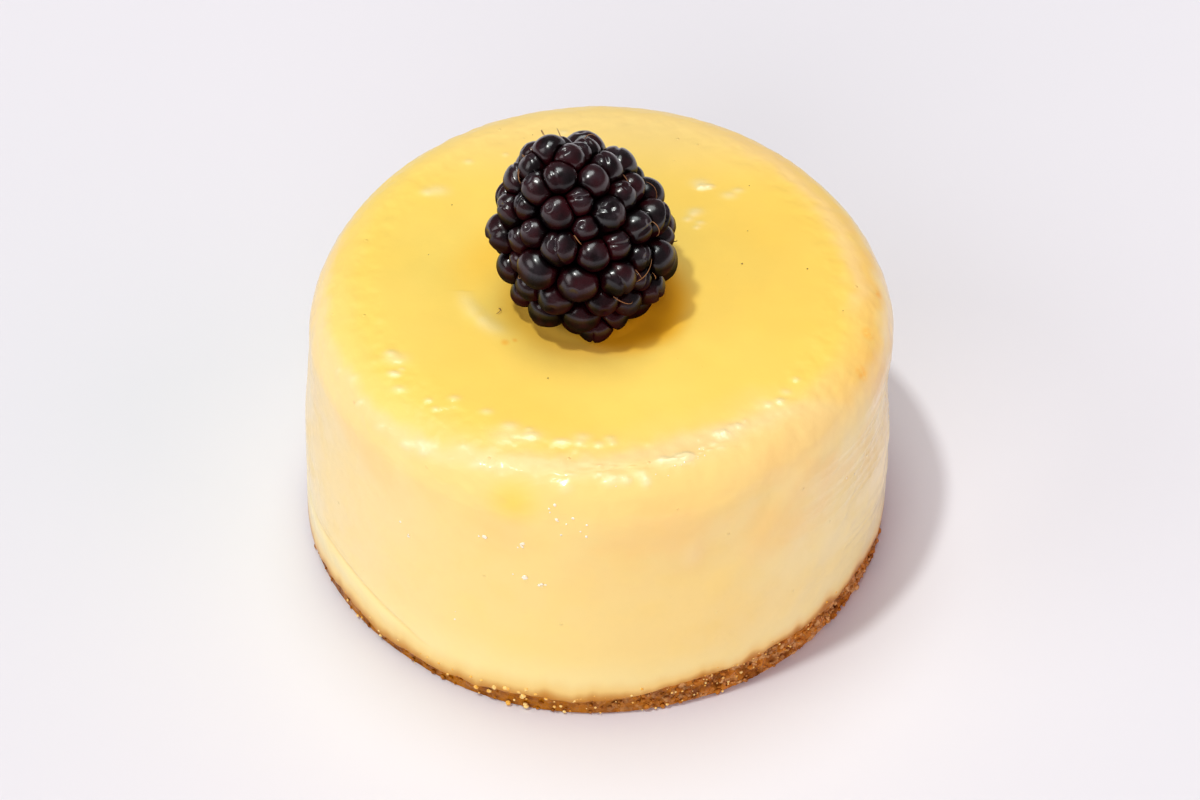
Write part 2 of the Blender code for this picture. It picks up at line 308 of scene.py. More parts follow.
def unevenness(theta, z):
    """How far the hand-made outside stands out from a true turned shape at that angle and height."""
    lumps = 0.20 * np.cos(2.0 * theta - 0.6) + 0.14 * np.cos(3.0 * theta + 1.1)
    lumps = lumps + 0.20 * np.cos(4.0 * theta) + 0.07 * np.cos(7.0 * theta + 0.4)
    left_bulge = 0.55 * near_angle(theta, np.pi, 0.9) * fade(19.0 * MM, 27.0 * MM, z)
    left_slope = -0.55 * near_angle(theta, 2.8, 1.0) * smooth_step(25.0 * MM, 34.0 * MM, z)
    right_waist = -0.90 * near_angle(theta, 0.0, 0.9) * bell(z - 28.0 * MM, 7.5 * MM)
    back_roll = 0.40 * near_angle(theta, 1.05, 0.9) * smooth_step(30.0 * MM, 37.0 * MM, z)
    return MM * (lumps + left_bulge + left_slope + right_waist + back_roll)


def glaze_edge(theta):
    """The wavy line, as an angle on the rounded edge, where the glaze stops. It stands high along the front right,
    where the cream shows up to the top, and dips where a little glaze ran down the front."""
    wave = 3.0 * np.sin(3.0 * theta + 0.5) + 2.5 * np.sin(5.0 * theta + 2.0)
    bare = 30.0 * near_angle(theta, math.radians(-67), 0.95, 0.30)
    drip = 9.0 * near_angle(theta, math.radians(-109), 0.35)
    return np.radians(44.0 + wave + bare - drip)


def layer_line(theta):
    """Height where the filling meets the biscuit: it hangs lower on the left, nearly to the foot, and is wavy."""
    sag = 0.3 + 2.6 * near_angle(theta, math.radians(-150), 1.75, 0.4)
    rise = 0.5 * near_angle(theta, math.radians(-52), 0.5)
    wave = 0.25 * np.sin(9.0 * theta) + 0.2 * np.sin(14.0 * theta + 1.0)
    return settings().sizes.biscuit + MM * (rise - sag + wave)


def ragged_line(theta):
    """The layer line with the small tongues of cream that run down over the crumbs."""
    around = turned(theta, settings().sizes.foot_radius, 0.0)
    tongues = 0.30 * soft_noise(around, 2.2 * MM, 31) + 0.20 * soft_noise(around, 0.9 * MM, 32)
    return layer_line(theta) + MM * tongues


def syrup(theta):
    """1 where syrup has smoothed and darkened the crumbs, on the front left, and 0 on the right."""
    return near_angle(theta, math.radians(-135), 1.20, 0.60)


def turned(theta, radius, z):
    """Points at an angle, a radius and a height."""
    return np.stack(np.broadcast_arrays(radius * np.cos(theta), radius * np.sin(theta), z), axis=-1)


def upright_side(theta, z, inset=0.0):
    """Points and outward directions on the side: the radius falls evenly from the foot to the shoulder."""
    sizes = settings().sizes
    taper = (sizes.shoulder_radius - sizes.foot_radius) * np.clip(z / shoulder_z(), 0.0, 1.0)
    radius = sizes.foot_radius + taper + unevenness(theta, z) - inset
    return turned(theta, radius, z), turned(theta, np.ones_like(radius), 0.0)


def rounded_edge(theta, angle):
    """Points and outward directions on the rounded edge: a quarter circle whose middle lies one rounding in from
    the shoulder. The angle runs from 0 at the side to a right angle at the top."""
    rounding = settings().sizes.rounding
    z = shoulder_z() + rounding * np.sin(angle)
    radius = top_radius() + unevenness(theta, z) * np.cos(angle) + rounding * np.cos(angle)
    return turned(theta, radius, z), turned(theta, np.cos(angle), np.sin(angle))


def glazed_edge(theta, share):
    """Points and outward directions on the rounded edge, at a share of the way from the glaze's line to the top."""
    edge = glaze_edge(theta)
    return rounded_edge(theta, edge + share * (np.pi / 2 - edge))


def flat_top(theta, share):
    """Points and outward directions on the top, at a share of the way from the middle to the rounded edge."""
    radius = share * top_radius()
    return turned(theta, radius, settings().sizes.height), turned(theta, np.zeros_like(radius), 1.0)


def skin_place(degrees, climbs):
    """Points at angles round the cake and degrees of climb: on the side below 0, on the rounded edge up to 90, and
    on the level top beyond."""
    theta = np.radians(degrees)
    degree = settings().sizes.rounding * math.radians(1.0)
    side, _ = upright_side(theta, shoulder_z() + np.minimum(climbs, 0.0) * degree)
    edge, _ = rounded_edge(theta, np.radians(np.clip(climbs, 0.0, 90.0)))
    top, _ = flat_top(theta, 1.0 - np.maximum(climbs - 90.0, 0.0) * degree / top_radius())
    climbs = climbs[..., None]
    return np.where(climbs < 0.0, side, np.where(climbs > 90.0, top, edge))


def climb(points):
    """How far up the profile a place is, in degrees of the rounded edge: 0 at the shoulder and 90 where the top is
    level. Below and beyond, the same length of skin counts as much as on the edge."""
    inner = top_radius()
    radius = np.hypot(points[..., 0], points[..., 1])
    rise = points[..., 2] - shoulder_z()
    on_edge = np.degrees(np.arctan2(np.maximum(rise, 0.0), np.maximum(radius - inner, 1e-9)))
    degrees = math.degrees(1.0) / settings().sizes.rounding
    on_top = np.minimum(on_edge, 90.0) + np.maximum(inner - radius, 0.0) * degrees
    return np.where(rise < 0.0, rise * degrees, on_top)


# ---------------------------------------------------------------- relief and tints of the skin

# Rows of small wet lumps, which the colour also paints pale as glints: from one angle round the cake to another,
# from one climb to another, count and width.
GLEAM_ROWS = [
    (-157, -134, 40, 46, 7, 0.5), (-134, -126, 42, 50, 7, 0.7), (-124, -106, 52, 62, 5, 0.5),
    (-158, -128, 96, 106, 9, 0.5), (-122, -104, 122, 116, 6, 0.5), (-101, -85, 118, 114, 7, 0.55),
    (-98, -76, 66, 60, 14, 0.4), (-76, -68, 82, 76, 7, 0.5), (-66, -50, 92, 104, 9, 0.45),
    (-90, -58, 76, 88, 18, 0.28), (-75, -67, 84, 79, 6, 0.5), (-48, -30, 106, 98, 5, 0.45),
    (44, 58, 156, 168, 8, 0.45), (38, 52, 215, 228, 5, 0.4), (100, 150, 116, 122, 5, 0.6),
]  # fmt: skip

# Rows of beads on the side, coloured pale as painted glints, written as the rows of gleams are.
SPARKLE_ROWS = [
    (-131, -126, -70, -118, 3, 0.50), (-113, -110, -28, -36, 2, 0.50), (-105, -101, -28, -50, 4, 0.46),
    (-106, -99, -80, -92, 6, 0.5), (-118, -117, -190, -200, 2, 0.4), (-100, -97, 28, 12, 5, 0.5),
    (-97, -91, 10, 2, 6, 0.5), (-88, -62, 62, 84, 16, 0.24), (-40, -20, -60, -90, 3, 0.4),
    (30, 60, -60, -120, 5, 0.4), (120, 160, -60, -120, 5, 0.4),
]  # fmt: skip

# The long crease low on the left, where the filling was pressed against its ring: degrees, and millimetres up.
CREASE = ((190.0, 200.0, 208.0, 214.5, 220.0, 224.0, 229.0, 235.0), (8.6, 8.9, 9.7, 9.2, 8.5, 7.8, 7.1, 5.8))
CREASE_APART = 0.9 * MM  # how far above it the fainter second one runs

# Tongues of syrup drawn up into the cream: degrees round the cake, height in millimetres, width in degrees.
SEEPS = [(-57.0, 0.5, 1.6), (-46.0, 0.9, 2.0), (-37.0, 1.3, 2.2), (-26.0, 0.8, 3.0)]

PALE_LUMP = (12.6 * MM, -36.3 * MM, 29.3 * MM)  # a small upright lump on the front right
DRIP = (-10.6 * MM, -36.4 * MM, 38.3 * MM)  # where the glaze ran down the front

# Darker spots in the glaze: the place and the radius, in millimetres.
CARAMEL_SPOTS = [
    ((-12.3, -11.5, 42.0), 0.9), ((-11.0, -11.0, 42.0), 0.6), ((36.6, 0.6, 40.4), 1.1),
    ((34.9, -7.3, 40.8), 1.4), ((34.0, -13.7, 40.0), 1.5),
]  # fmt: skip


def round_berry(points):
    """Distances from the berry's middle line, and bearings round it."""
    flat = points[..., :2] - np.array(settings().berry.place)
    return np.linalg.norm(flat, axis=-1), np.arctan2(flat[..., 1], flat[..., 0])


def pushed_arc(points):
    """1 along the short ridge of glaze in front of the berry's left side, whose pale colour is a painted highlight,
    and 0
    elsewhere: a bell curve across a line that comes nearer to the berry as it runs to the front."""
    away, bearing = round_berry(points)
    middle = math.radians(-160)
    line = 14.4 * MM - 4.7 * MM * (bearing - middle)
    return near_angle(bearing, middle, 0.50) * bell(away - line, 1.25 * MM)


def berry_dent(points):
    """The faint bowl that the berry stands in, the pushed-up ridge by it, and the glaze that climbs its foot."""
    away, _ = round_berry(points)
    bowl = -0.10 * fade(8.0 * MM, 15.0 * MM, away)
    foot = 0.25 * fade(7.0 * MM, 9.3 * MM, away)
    return MM * (bowl + foot + 0.16 * pushed_arc(points))


def gleams(rows):
    """Places and widths of small wet lumps, scattered along each row."""
    rng = np.random.default_rng(85)
    places, widths = [], []
    for first, last, low, high, count, width in rows:
        share = rng.uniform(0.0, 1.0, count)
        climbs = low + (high - low) * share + rng.normal(0.0, 6.0, count)
        places.append(skin_place(first + (last - first) * share, climbs))
        widths.append(width * MM * rng.lognormal(-0.1, 0.40, count))
    return np.concatenate(places), np.concatenate(widths)


def gleam_field(points):
    """A bell curve round each small wet lump, wider along X, added up."""
    total = np.zeros(points.shape[:-1])
    for place, width in zip(*gleams(GLEAM_ROWS)):
        total += np.exp(-((((points - place) * (0.65, 1.0, 1.0)) ** 2).sum(axis=-1)) / width**2)
    return total


def crease_height(theta):
    """Height of the crease, read off between its points."""
    return MM * np.interp((np.degrees(theta) + 360.0) % 360.0, *CREASE)


def crease(theta, z, above=0.0):
    """How strongly the crease, or a line that far above it, shows at an angle and height."""
    return window(theta, -2.95, -2.75, -2.30, -2.12) * bell(z - crease_height(theta) - above, 0.24 * MM)


def slanted_hollow(around, z):
    """1 along the middle of the shallow hollow high on the front right, which climbs to the right, and 0 elsewhere."""
    sideways, up = around + 41.0 * MM, z - 32.0 * MM
    along = 0.80 * sideways + 0.60 * up
    across = 0.80 * up - 0.60 * sideways
    return np.exp(-((along / (10.0 * MM)) ** 2) - (across / (3.2 * MM)) ** 2)


def skin_relief(points):
    """How far the cream and glaze stand out from the plain turned shape, as one field over both layers, so that they
    meet without a step.

    Broad lumps lie all over. The rim starts to fall away 3 mm inside the rounded edge and carries small ripples. The
    right side has fine level wrinkles: ridges of noise that is stretched along the side. The front right has soft
    slanting folds and a hollow, and the left a pressed crease with a swelling under it."""
    theta = np.arctan2(points[..., 1], points[..., 0])
    radius = np.hypot(points[..., 0], points[..., 1])
    z = points[..., 2]
    around = theta * 39.0 * MM  # the way along the side's skin
    level = np.zeros_like(z)
    lumps = 0.12 * soft_noise(points, 9.0 * MM, 1) + 0.035 * soft_noise(points, 3.2 * MM, 2)
    falling = -0.30 * smooth_step(28.2 * MM, 33.5 * MM, radius) * smooth_step(33.5 * MM, 39.5 * MM, z)
    rim = smooth_step(34.5 * MM, 38.5 * MM, z) * smooth_step(27.5 * MM, 30.5 * MM, radius)
    ripples = 0.075 * rim * layered_noise(points * (1.0, 1.0, 1.5), 1.5 * MM, 5)
    slanted = np.stack([0.11 * around, z + 0.16 * around, level], axis=-1)
    ridged = (1.0 - np.abs(soft_noise(slanted, 1.6 * MM, 8))) ** 4
    wrinkled = near_angle(theta, math.radians(-14), 0.75) * smooth_step(9 * MM, 14 * MM, z)
    wrinkles = 0.24 * wrinkled * fade(32 * MM, 37 * MM, z) * ridged
    wide = np.stack([around - 0.8 * z, 0.30 * z, level], axis=-1)
    folds = 0.30 * near_angle(theta, math.radians(-50), 0.62) * smooth_step(5 * MM, 14 * MM, z)
    folds = folds * soft_noise(wide, 6.0 * MM, 9) * fade(34 * MM, 38 * MM, z)
    folds = folds - 0.42 * slanted_hollow(around, z)
    lump_away = np.linalg.norm((points - PALE_LUMP) * (1.0, 1.0, 0.6), axis=-1)
    pale_lump = 0.22 * bell(lump_away, 1.3 * MM)
    pressed = -0.13 * crease(theta, z) - 0.07 * crease(theta, z, CREASE_APART) * near_angle(theta, -2.72, 0.3)
    below = window((crease_height(theta) - z) / MM, 0.2, 1.4, 1.6, 4.5)
    swelling = 0.16 * below * near_angle(theta, -2.55, 0.5)
    folded = lumps + falling + ripples + wrinkles + folds
    return MM * (folded + pale_lump + pressed + swelling + 0.12 * gleam_field(points))


def cake_tints(points):
    """Shares from 0 to 1 for the finishes, at each point: how yellow the skin is, a pale stretch below the yellow that
    is painted sheen, pale glints painted as highlights on the wet lumps and the arc, the painted shade on the front of
    the rounded edge, the part of the edge that shines less, how much the skin is stained by the crumbs below, with
    painted shade at the foot, the painted shade round the berry, and the crease's tan line.

    The yellow ends at a climb that rises from the left to the front right, and the painted sheen runs just below it."""
    theta = np.arctan2(points[..., 1], points[..., 0])
    degrees = np.degrees(theta)
    z = points[..., 2]
    climbs = climb(points)
    wander = 8.0 * soft_noise(points, 4.0 * MM, 91) + 5.0 * soft_noise(points, 1.5 * MM, 92)

    line = 52.0 + 3.0 * np.sin(3.0 * theta + 0.5) + 58.0 * window(degrees, -145.0, -72.0, -47.0, -29.0)
    line = line - 24.0 * near_angle(theta, np.pi / 2, 1.9) - 15.0 * near_angle(theta, -0.21, 0.35)
    over = climbs + wander - line
    yellow = 0.72 * smooth_step(-14.0, 12.0, over) + 0.28 * smooth_step(6.0, 52.0, over)
    # Painted sheen: a pale stretch just below the yellow on the front and left, and high on the right.
    painted_sheen_band = window(degrees, -185.0, -150.0, -50.0, -34.0) * bell(climbs + 0.7 * wander - line + 13.0, 15.0)
    painted_sheen_right = window(degrees, -14.0, 4.0, 45.0, 75.0) * bell(climbs + 1.2 * wander - 78.0, 13.0)
    # Painted shade on the front of the rounded edge, strongest at the front.
    front = 0.25 + 0.75 * near_angle(theta, math.radians(-78), 1.15, 0.55)
    blotchy = 0.8 + 0.5 * soft_noise(points, 1.3 * MM, 95)
    # Painted highlight: pale glints on the wet lumps and along the pushed-up arc on the top.
    lumps_and_painted_glint = 0.70 * gleam_field(points) + 0.75 * blotchy * pushed_arc(points) * (climbs > 90.0)

    # Crumb staining and painted shade: tongues drawn up from the crumbs, and a brown stretch just above the layer line
    # that also paints the shade and warm reflection at the foot.
    drawn_up = soft_noise(points * (1.0, 1.0, 0.2), 3.0 * MM, 93)
    drawn_up = drawn_up + 0.4 * soft_noise(points * (1.0, 1.0, 0.4), 0.9 * MM, 96)
    seeps = sum(rise * bell(degrees - place, width) for place, rise, width in SEEPS)
    height = (z - ragged_line(theta)) / MM + 0.6 * drawn_up - seeps
    stain_and_painted_shade = fade(-0.25, 1.15, height / (3.0 + 1.8 * syrup(theta)))

    # Painted shade: a deeper orange where the berry's shadow falls to its right, a little behind it on the left, and
    # in a ring under its overhang.
    painted_shade_middle = np.array(settings().berry.place) + np.array([4.6, -1.2]) * MM
    away = np.linalg.norm(points[..., :2] - painted_shade_middle, axis=-1) + 0.8 * MM * soft_noise(points, 5.0 * MM, 94)
    painted_berry_shade = fade(7.5 * MM, 11.5 * MM, away)
    away, bearing = round_berry(points)
    behind = near_angle(bearing, math.radians(150), 0.9) * fade(14.0 * MM, 21.0 * MM, away)
    ring = fade(9.0 * MM, 13.5 * MM, away)
    painted_berry_shade = np.maximum(painted_berry_shade, np.maximum(0.40 * behind, 0.50 * ring))
    tan = crease(theta, z) + 0.6 * crease(theta, z, CREASE_APART) * near_angle(theta, -2.72, 0.3)
    return {
        "yellow": yellow,
        "painted_sheen_band": painted_sheen_band + 0.75 * painted_sheen_right,
        "lumps_and_painted_glint": np.clip(lumps_and_painted_glint, 0.0, 1.0),
        "stain_and_painted_shade": stain_and_painted_shade,
        "painted_berry_shade": painted_berry_shade * (z > 38.0 * MM),
        "tan": np.clip(tan, 0.0, 1.0),
        "shaded": front * window(climbs, -5.0, 45.0, 72.0, 100.0),
        "dull": window(climbs, 25.0, 50.0, 88.0, 104.0),
    }


def raised(points, outward, relief):
    """Points moved along their outward directions."""
    return points + outward * relief[..., None]


def sunk(points, outward, depth):
    """Points at a depth under the skin, with the skin's relief and the berry's dent."""
    return raised(points, outward, skin_relief(points) + berry_dent(points) * outward[..., 2] - depth)


# ---------------------------------------------------------------- meshes


def closed_rings(rings):
    """Points and faces of a closed skin over rings that run from a bottom middle outwards, up and over.
    The first and last rings close on their own middles. Numbers of a point past its third are carried along."""
    rows, columns, width = rings.shape
    verts = np.concatenate([rings.reshape(-1, width), rings[0].mean(axis=0)[None], rings[-1].mean(axis=0)[None]])
    here = np.arange(columns)
    following = (here + 1) % columns
    ring = np.arange(rows - 1)[:, None] * columns
    after = ring + columns
    sides = np.stack([ring + here, ring + following, after + following, after + here], axis=-1)
    end = (rows - 1) * columns
    bottom = np.stack([np.full(columns, end + columns), following, here], axis=-1)
    top = np.stack([end + here, end + following, np.full(columns, end + columns + 1)], axis=-1)
    return verts, [sides.reshape(-1, 4), np.concatenate([bottom, top])]


def many_closed_rings(rings):
    """Points and faces of many closed skins with rings alike, from an array of skins by rings by points."""
    verts, faces = closed_rings(rings[0])
    count, width = verts.shape
    poles = np.stack([rings[:, 0].mean(axis=1), rings[:, -1].mean(axis=1)], axis=1)
    everything = np.concatenate([rings.reshape(len(rings), -1, width), poles], axis=1)
    shift = np.arange(len(rings))[:, None, None] * count
    return everything.reshape(-1, width), [(part + shift).reshape(-1, part.shape[1]) for part in faces]


def joined(*skins):
    """Points and faces of several skins as one. Each skin lists its four-sided faces and then its triangles."""
    verts = np.concatenate([points for points, _ in skins])
    starts = np.cumsum([0] + [len(points) for points, _ in skins])
    fours, threes = zip(*[[part + start for part in faces] for start, (_, faces) in zip(starts, skins)])
    return verts, [np.concatenate(threes), np.concatenate(fours)]


def turned_outwards(rings):
    """Skins by rings by points, each ring reversed where its skin would face inwards."""
    spots = rings[..., :3]
    across = np.cross(spots[:, 2, 1] - spots[:, 2, 0], spots[:, 3, 0] - spots[:, 2, 0])
    inward = np.einsum("nc,nc->n", across, spots[:, 2, 0] - spots.mean(axis=(1, 2))) < 0.0
    fixed = rings.copy()
    fixed[inward] = rings[inward][:, :, ::-1]
    return fixed


def mesh_piece(name, verts, faces):
    """A smooth-shaded object from an array of points and a list of arrays of faces, each of one face size."""
    loops = np.concatenate([part.ravel() for part in faces]).astype(np.int32)
    counts = np.concatenate([np.full(len(part), part.shape[1]) for part in faces])
    mesh = bpy.data.meshes.new(name)
    mesh.vertices.add(len(verts))
    mesh.vertices.foreach_set("co", verts[:, :3].astype(np.float32).ravel())
    mesh.loops.add(len(loops))
    mesh.loops.foreach_set("vertex_index", loops)
    mesh.polygons.add(len(counts))
    mesh.polygons.foreach_set("loop_start", (np.cumsum(counts) - counts).astype(np.int32))
    mesh.update(calc_edges=True)
    mesh.validate()
    mesh.shade_smooth()
    mesh.set_sharp_from_angle(angle=math.radians(70))
    piece = bpy.data.objects.new(name, mesh)
    bpy.context.scene.collection.objects.link(piece)
    return piece


def cake_piece(name, skin, finish, slot, *nodes, tints=None):
    """Makes a piece of a skin's points and faces, with a share for each point under each name of the tints. The
    piece gets its finish, and rides with the cake in place of the nodes. The slot is not used."""
    piece = mesh_piece(name, *skin)
    for key, shares in (tints or {}).items():
        layer = piece.data.attributes.new(key, "FLOAT", "POINT")
        layer.data.foreach_set("value", np.ascontiguousarray(shares, dtype=np.float32))
    piece.data.materials.append(finish)
    if nodes:
        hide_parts(*nodes)
    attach(piece, "root")


# ---------------------------------------------------------------- shader expressions


def both_ways(operation):
    """An operator of two values and its reflected form, as a Math node of that operation."""

    def forwards(self, other):
        return self.math(operation, self, other)

    def reflected(self, other):
        return self.math(operation, other, self)

    return forwards, reflected


class Value:
    """A socket's number or colour. Arithmetic on values adds Math nodes."""

    __add__, __radd__ = both_ways("ADD")
    __sub__, __rsub__ = both_ways("SUBTRACT")
    __mul__, __rmul__ = both_ways("MULTIPLY")

    def __init__(self, finish, socket):
        self.finish = finish
        self.socket = socket

    def math(self, operation, first, second):
        """A Math node of that operation on two numbers or values."""
        return self.finish.node("ShaderNodeMath", {"operation": operation}, {0: first, 1: second})

    def step(self, low, high):
        """0 at low, 1 at high, and an even S between; low may be the larger."""
        kind = {"interpolation_type": "SMOOTHSTEP", "clamp": True}
        return self.finish.node("ShaderNodeMapRange", kind, {"Value": self, "From Min": low, "From Max": high})


class Finish:
    """A material round one Principled shader, whose sockets take numbers, colours and expressions."""

    def __init__(self, name, **sockets):
        self.material = bpy.data.materials.new(name)
        self.material.use_nodes = True
        self.nodes = self.material.node_tree.nodes
        self.links = self.material.node_tree.links
        self.shader = self.nodes["Principled BSDF"]
        self.place = self.node("ShaderNodeTexCoord", output="Object")
        self.set(**sockets)

    def node(self, kind, options=None, sockets=None, output=0):
        """A new node: its options are set first, then its sockets get their numbers or links."""
        node = self.nodes.new(kind)
        for key, value in (options or {}).items():
            setattr(node, key, value)
        for key, value in (sockets or {}).items():
            self.plug(node.inputs[key], value)
        return Value(self, node.outputs[output])

    def plug(self, socket, value):
        """Links a value to a socket, or sets the socket's own number."""
        if isinstance(value, Value):
            self.links.new(value.socket, socket)
        elif socket.type == "RGBA":
            socket.default_value = (*value[:3], 1.0)
        else:
            socket.default_value = value

    def set(self, **sockets):
        """Sets the shader's sockets, named with underscores for spaces."""
        for key, value in sockets.items():
            self.plug(self.shader.inputs[key.replace("_", " ")], value)

    def share(self, name):
        """A share stored on the piece's points."""
        return self.node("ShaderNodeAttribute", {"attribute_name": name}, output="Fac")

    def axis(self, name):
        """The place on the object along X, Y or Z."""
        return self.node("ShaderNodeSeparateXYZ", sockets={0: self.place}, output=name)

    def vector(self, operation, *operands, output=0):
        """A Vector Math node of that operation."""
        return self.node("ShaderNodeVectorMath", {"operation": operation}, dict(enumerate(operands)), output)

    def noise(self, size, detail=2.0, where=None):
        """Noise from 0 to 1 with features of about that size."""
        sockets = {"Vector": where or self.place, "Scale": 1.0 / size, "Detail": detail}
        return self.node("ShaderNodeTexNoise", sockets=sockets)

    def cells(self, size, feature="F1", output="Distance"):
        """A cell pattern with cells of about that size. Distances are shares of the size."""
        sockets = {"Vector": self.place, "Scale": 1.0 / size}
        return self.node("ShaderNodeTexVoronoi", {"feature": feature}, sockets, output)

    def chance(self, size):
        """One random number from 0 to 1 for each cell of about that size."""
        return self.node("ShaderNodeSeparateColor", sockets={0: self.cells(size, output="Color")})

    def mix(self, share, first, second):
        """Two colours mixed."""
        return self.node("ShaderNodeMix", {"data_type": "RGBA"}, {0: share, 6: first, 7: second}, output=2)

    def laid(self, colour, *layers):
        """A colour under others, which are laid over it one after the other, each with its share."""
        for share, over in layers:
            colour = self.mix(share, colour, over)
        return colour

    def near(self, place, radius, squash=1.0):
        """1 at a place on the object, falling to 0 at the radius. Squash shortens the reach along Z."""
        apart = self.vector("MULTIPLY", self.vector("SUBTRACT", self.place, place), (1.0, 1.0, squash))
        return self.vector("LENGTH", apart, output="Value").step(radius, 0.0)

    def bump(self, height, distance, strength=1.0):
        """Relief for the Normal socket: heights from 0 to 1 over that distance."""
        sockets = {"Height": height, "Distance": distance, "Strength": strength}
        return self.node("ShaderNodeBump", sockets=sockets)


def cake_colour(finish):
    """The colour of cream and glaze, as one field over both: cream on the side, paler to the left as painted light,
    paler to the right and just above the crumbs, palest at the far right as painted reflection, turning yellow towards
    the top, with deeper yellow where the glaze lies thicker. Painted shade lies on the front of the rounded edge and
    round the berry, painted sheen on the wet rim and towards the back of the top, and painted highlights on the
    glints."""
    colours = settings().colours
    x, y, z = [finish.axis(name) for name in "XYZ"]
    sideways = x + (finish.noise(8.0 * MM) - 0.5) * 0.012
    right = sideways.step(12.0 * MM, 37.0 * MM)
    peach = finish.noise(11.0 * MM, 3.0).step(0.40, 0.72) * z.step(14.0 * MM, 34.0 * MM)
    stain_and_painted_shade = finish.share("stain_and_painted_shade")
    side = finish.laid(
        colours.cream,
        # Painted light: paler on the left.
        (sideways.step(-12.0 * MM, -38.0 * MM), colours.painted_light_cream),
        (right, colours.cream_light),
        # Painted reflection: grazing sheen at the far right.
        (x.step(35.0 * MM, 39.5 * MM) * 0.9, colours.far_right_painted_sheen),
        (z.step(14.0 * MM, 6.0 * MM) * 0.55, colours.cream_light),
        (peach * 0.55, colours.peach),
        # Painted light: paler on the small lump.
        (finish.near(PALE_LUMP, 2.6 * MM, 0.6) * 0.5, colours.painted_light_cream),
        # Crumb staining and painted shade at the foot.
        (stain_and_painted_shade, colours.stain_and_painted_shade),
        (stain_and_painted_shade.step(0.40, 1.0) * 0.95, colours.syrup),
        (finish.share("tan") * 0.40, colours.stain_and_painted_shade),
    )
    patches = finish.noise(22.0 * MM, 3.0).step(0.25, 0.80) * 0.5 + x.step(4.0 * MM, 30.0 * MM) * 0.35
    blotches = x.step(31.0 * MM, 36.5 * MM) * finish.noise(3.0 * MM, 3.0).step(0.25, 0.60)
    top = finish.laid(
        colours.glaze,
        (patches, colours.glaze_deep),
        # Painted sheen: paler top towards the back.
        (y.step(16.0 * MM, 34.0 * MM) * 0.65, colours.painted_light_cream),
        # Painted shade round the berry.
        (finish.share("painted_berry_shade") * 0.9, colours.glaze_painted_shade),
        (blotches * 0.45, colours.caramel),
    )
    broken = finish.noise(1.0 * MM).step(0.25, 0.55) * 0.75
    spots = [finish.near([part * MM for part in place], radius * MM) * broken for place, radius in CARAMEL_SPOTS]
    return finish.laid(
        side,
        (finish.share("yellow"), top),
        # Painted shade on the front of the rounded edge.
        (finish.share("shaded") * (right * 0.35 + 0.50), colours.edge),
        # Painted sheen on the rim.
        (finish.share("painted_sheen_band") * 0.8, colours.painted_sheen_cream),
        (finish.near(DRIP, 5.0 * MM, 1.2) * 0.9, colours.drip),
        *[(spot, colours.caramel) for spot in spots],
        # Painted highlight: pale glints.
        (finish.share("lumps_and_painted_glint") * 0.6, colours.lumps_and_painted_glint),
    )


def cake_finish(name, dry):
    """Cream or glaze under a thin wet film. The film is blotchy, thinner on the rounded edge and where the share
    named dry is high, and full on the gleams. The relief is a faint grain, stronger on the gleams, and rare little
    bubbles where one cell in a few is chosen."""
    finish = Finish(name, Specular_IOR_Level=0.25, Coat_Roughness=0.12, IOR=1.42)
    lumps_and_painted_glint = finish.share("lumps_and_painted_glint")
    blotchy = finish.noise(4.0 * MM, 3.0).step(0.30, 0.62) * 0.45 + 0.12
    film = blotchy * (1.0 - finish.share("dull") * 0.85) + lumps_and_painted_glint * 0.7
    grain = finish.noise(0.9 * MM, 3.0) * (1.0 + lumps_and_painted_glint * 5.0)
    bubble = finish.cells(3.4 * MM).step(0.085, 0.02) * finish.chance(3.4 * MM).step(0.62, 0.66)
    finish.set(
        Base_Color=cake_colour(finish),
        Roughness=finish.noise(3.0 * MM) * 0.2 + 0.26,
        Coat_Weight=film * (1.0 - finish.share(dry) * 0.8),
        Normal=finish.bump(grain * 0.16 + bubble * 0.8, 0.12 * MM, 0.9),
    )
    return finish.material


def biscuit_finish():
    """Crumbs: brown grains, some dark and moist, some pale and dusty, with a thin shine where butter wets them."""
    colours = settings().colours
    finish = Finish("biscuit", Specular_IOR_Level=0.2, Coat_Roughness=0.25, IOR=1.45)
    wet = finish.share("syrup")
    crumbs = finish.laid(
        colours.biscuit,
        (finish.chance(0.9 * MM).step(0.45, 0.95), colours.biscuit_light),
        (finish.noise(2.6 * MM, 3.0).step(0.48, 0.70), colours.biscuit_dark),
        # Darker along the cracks between the crumb cells.
        (finish.cells(0.9 * MM, "DISTANCE_TO_EDGE").step(0.10, 0.0) * 0.55, colours.biscuit_dark),
    )
    syrupy = finish.mix(finish.noise(1.6 * MM, 3.0).step(0.30, 0.60), colours.biscuit_dark, colours.syrup)
    finish.set(
        Base_Color=finish.mix(wet, crumbs, syrupy),
        Roughness=finish.noise(1.2 * MM) * 0.5 + 0.40 - wet * 0.3,
        Coat_Weight=finish.noise(2.0 * MM).step(0.50, 0.66) * (0.6 - wet * 0.3),
        Normal=finish.bump(finish.noise(0.45 * MM, 4.0) * 0.6 + finish.cells(0.5 * MM) * 0.4, 0.25 * MM),
    )
    return finish.material


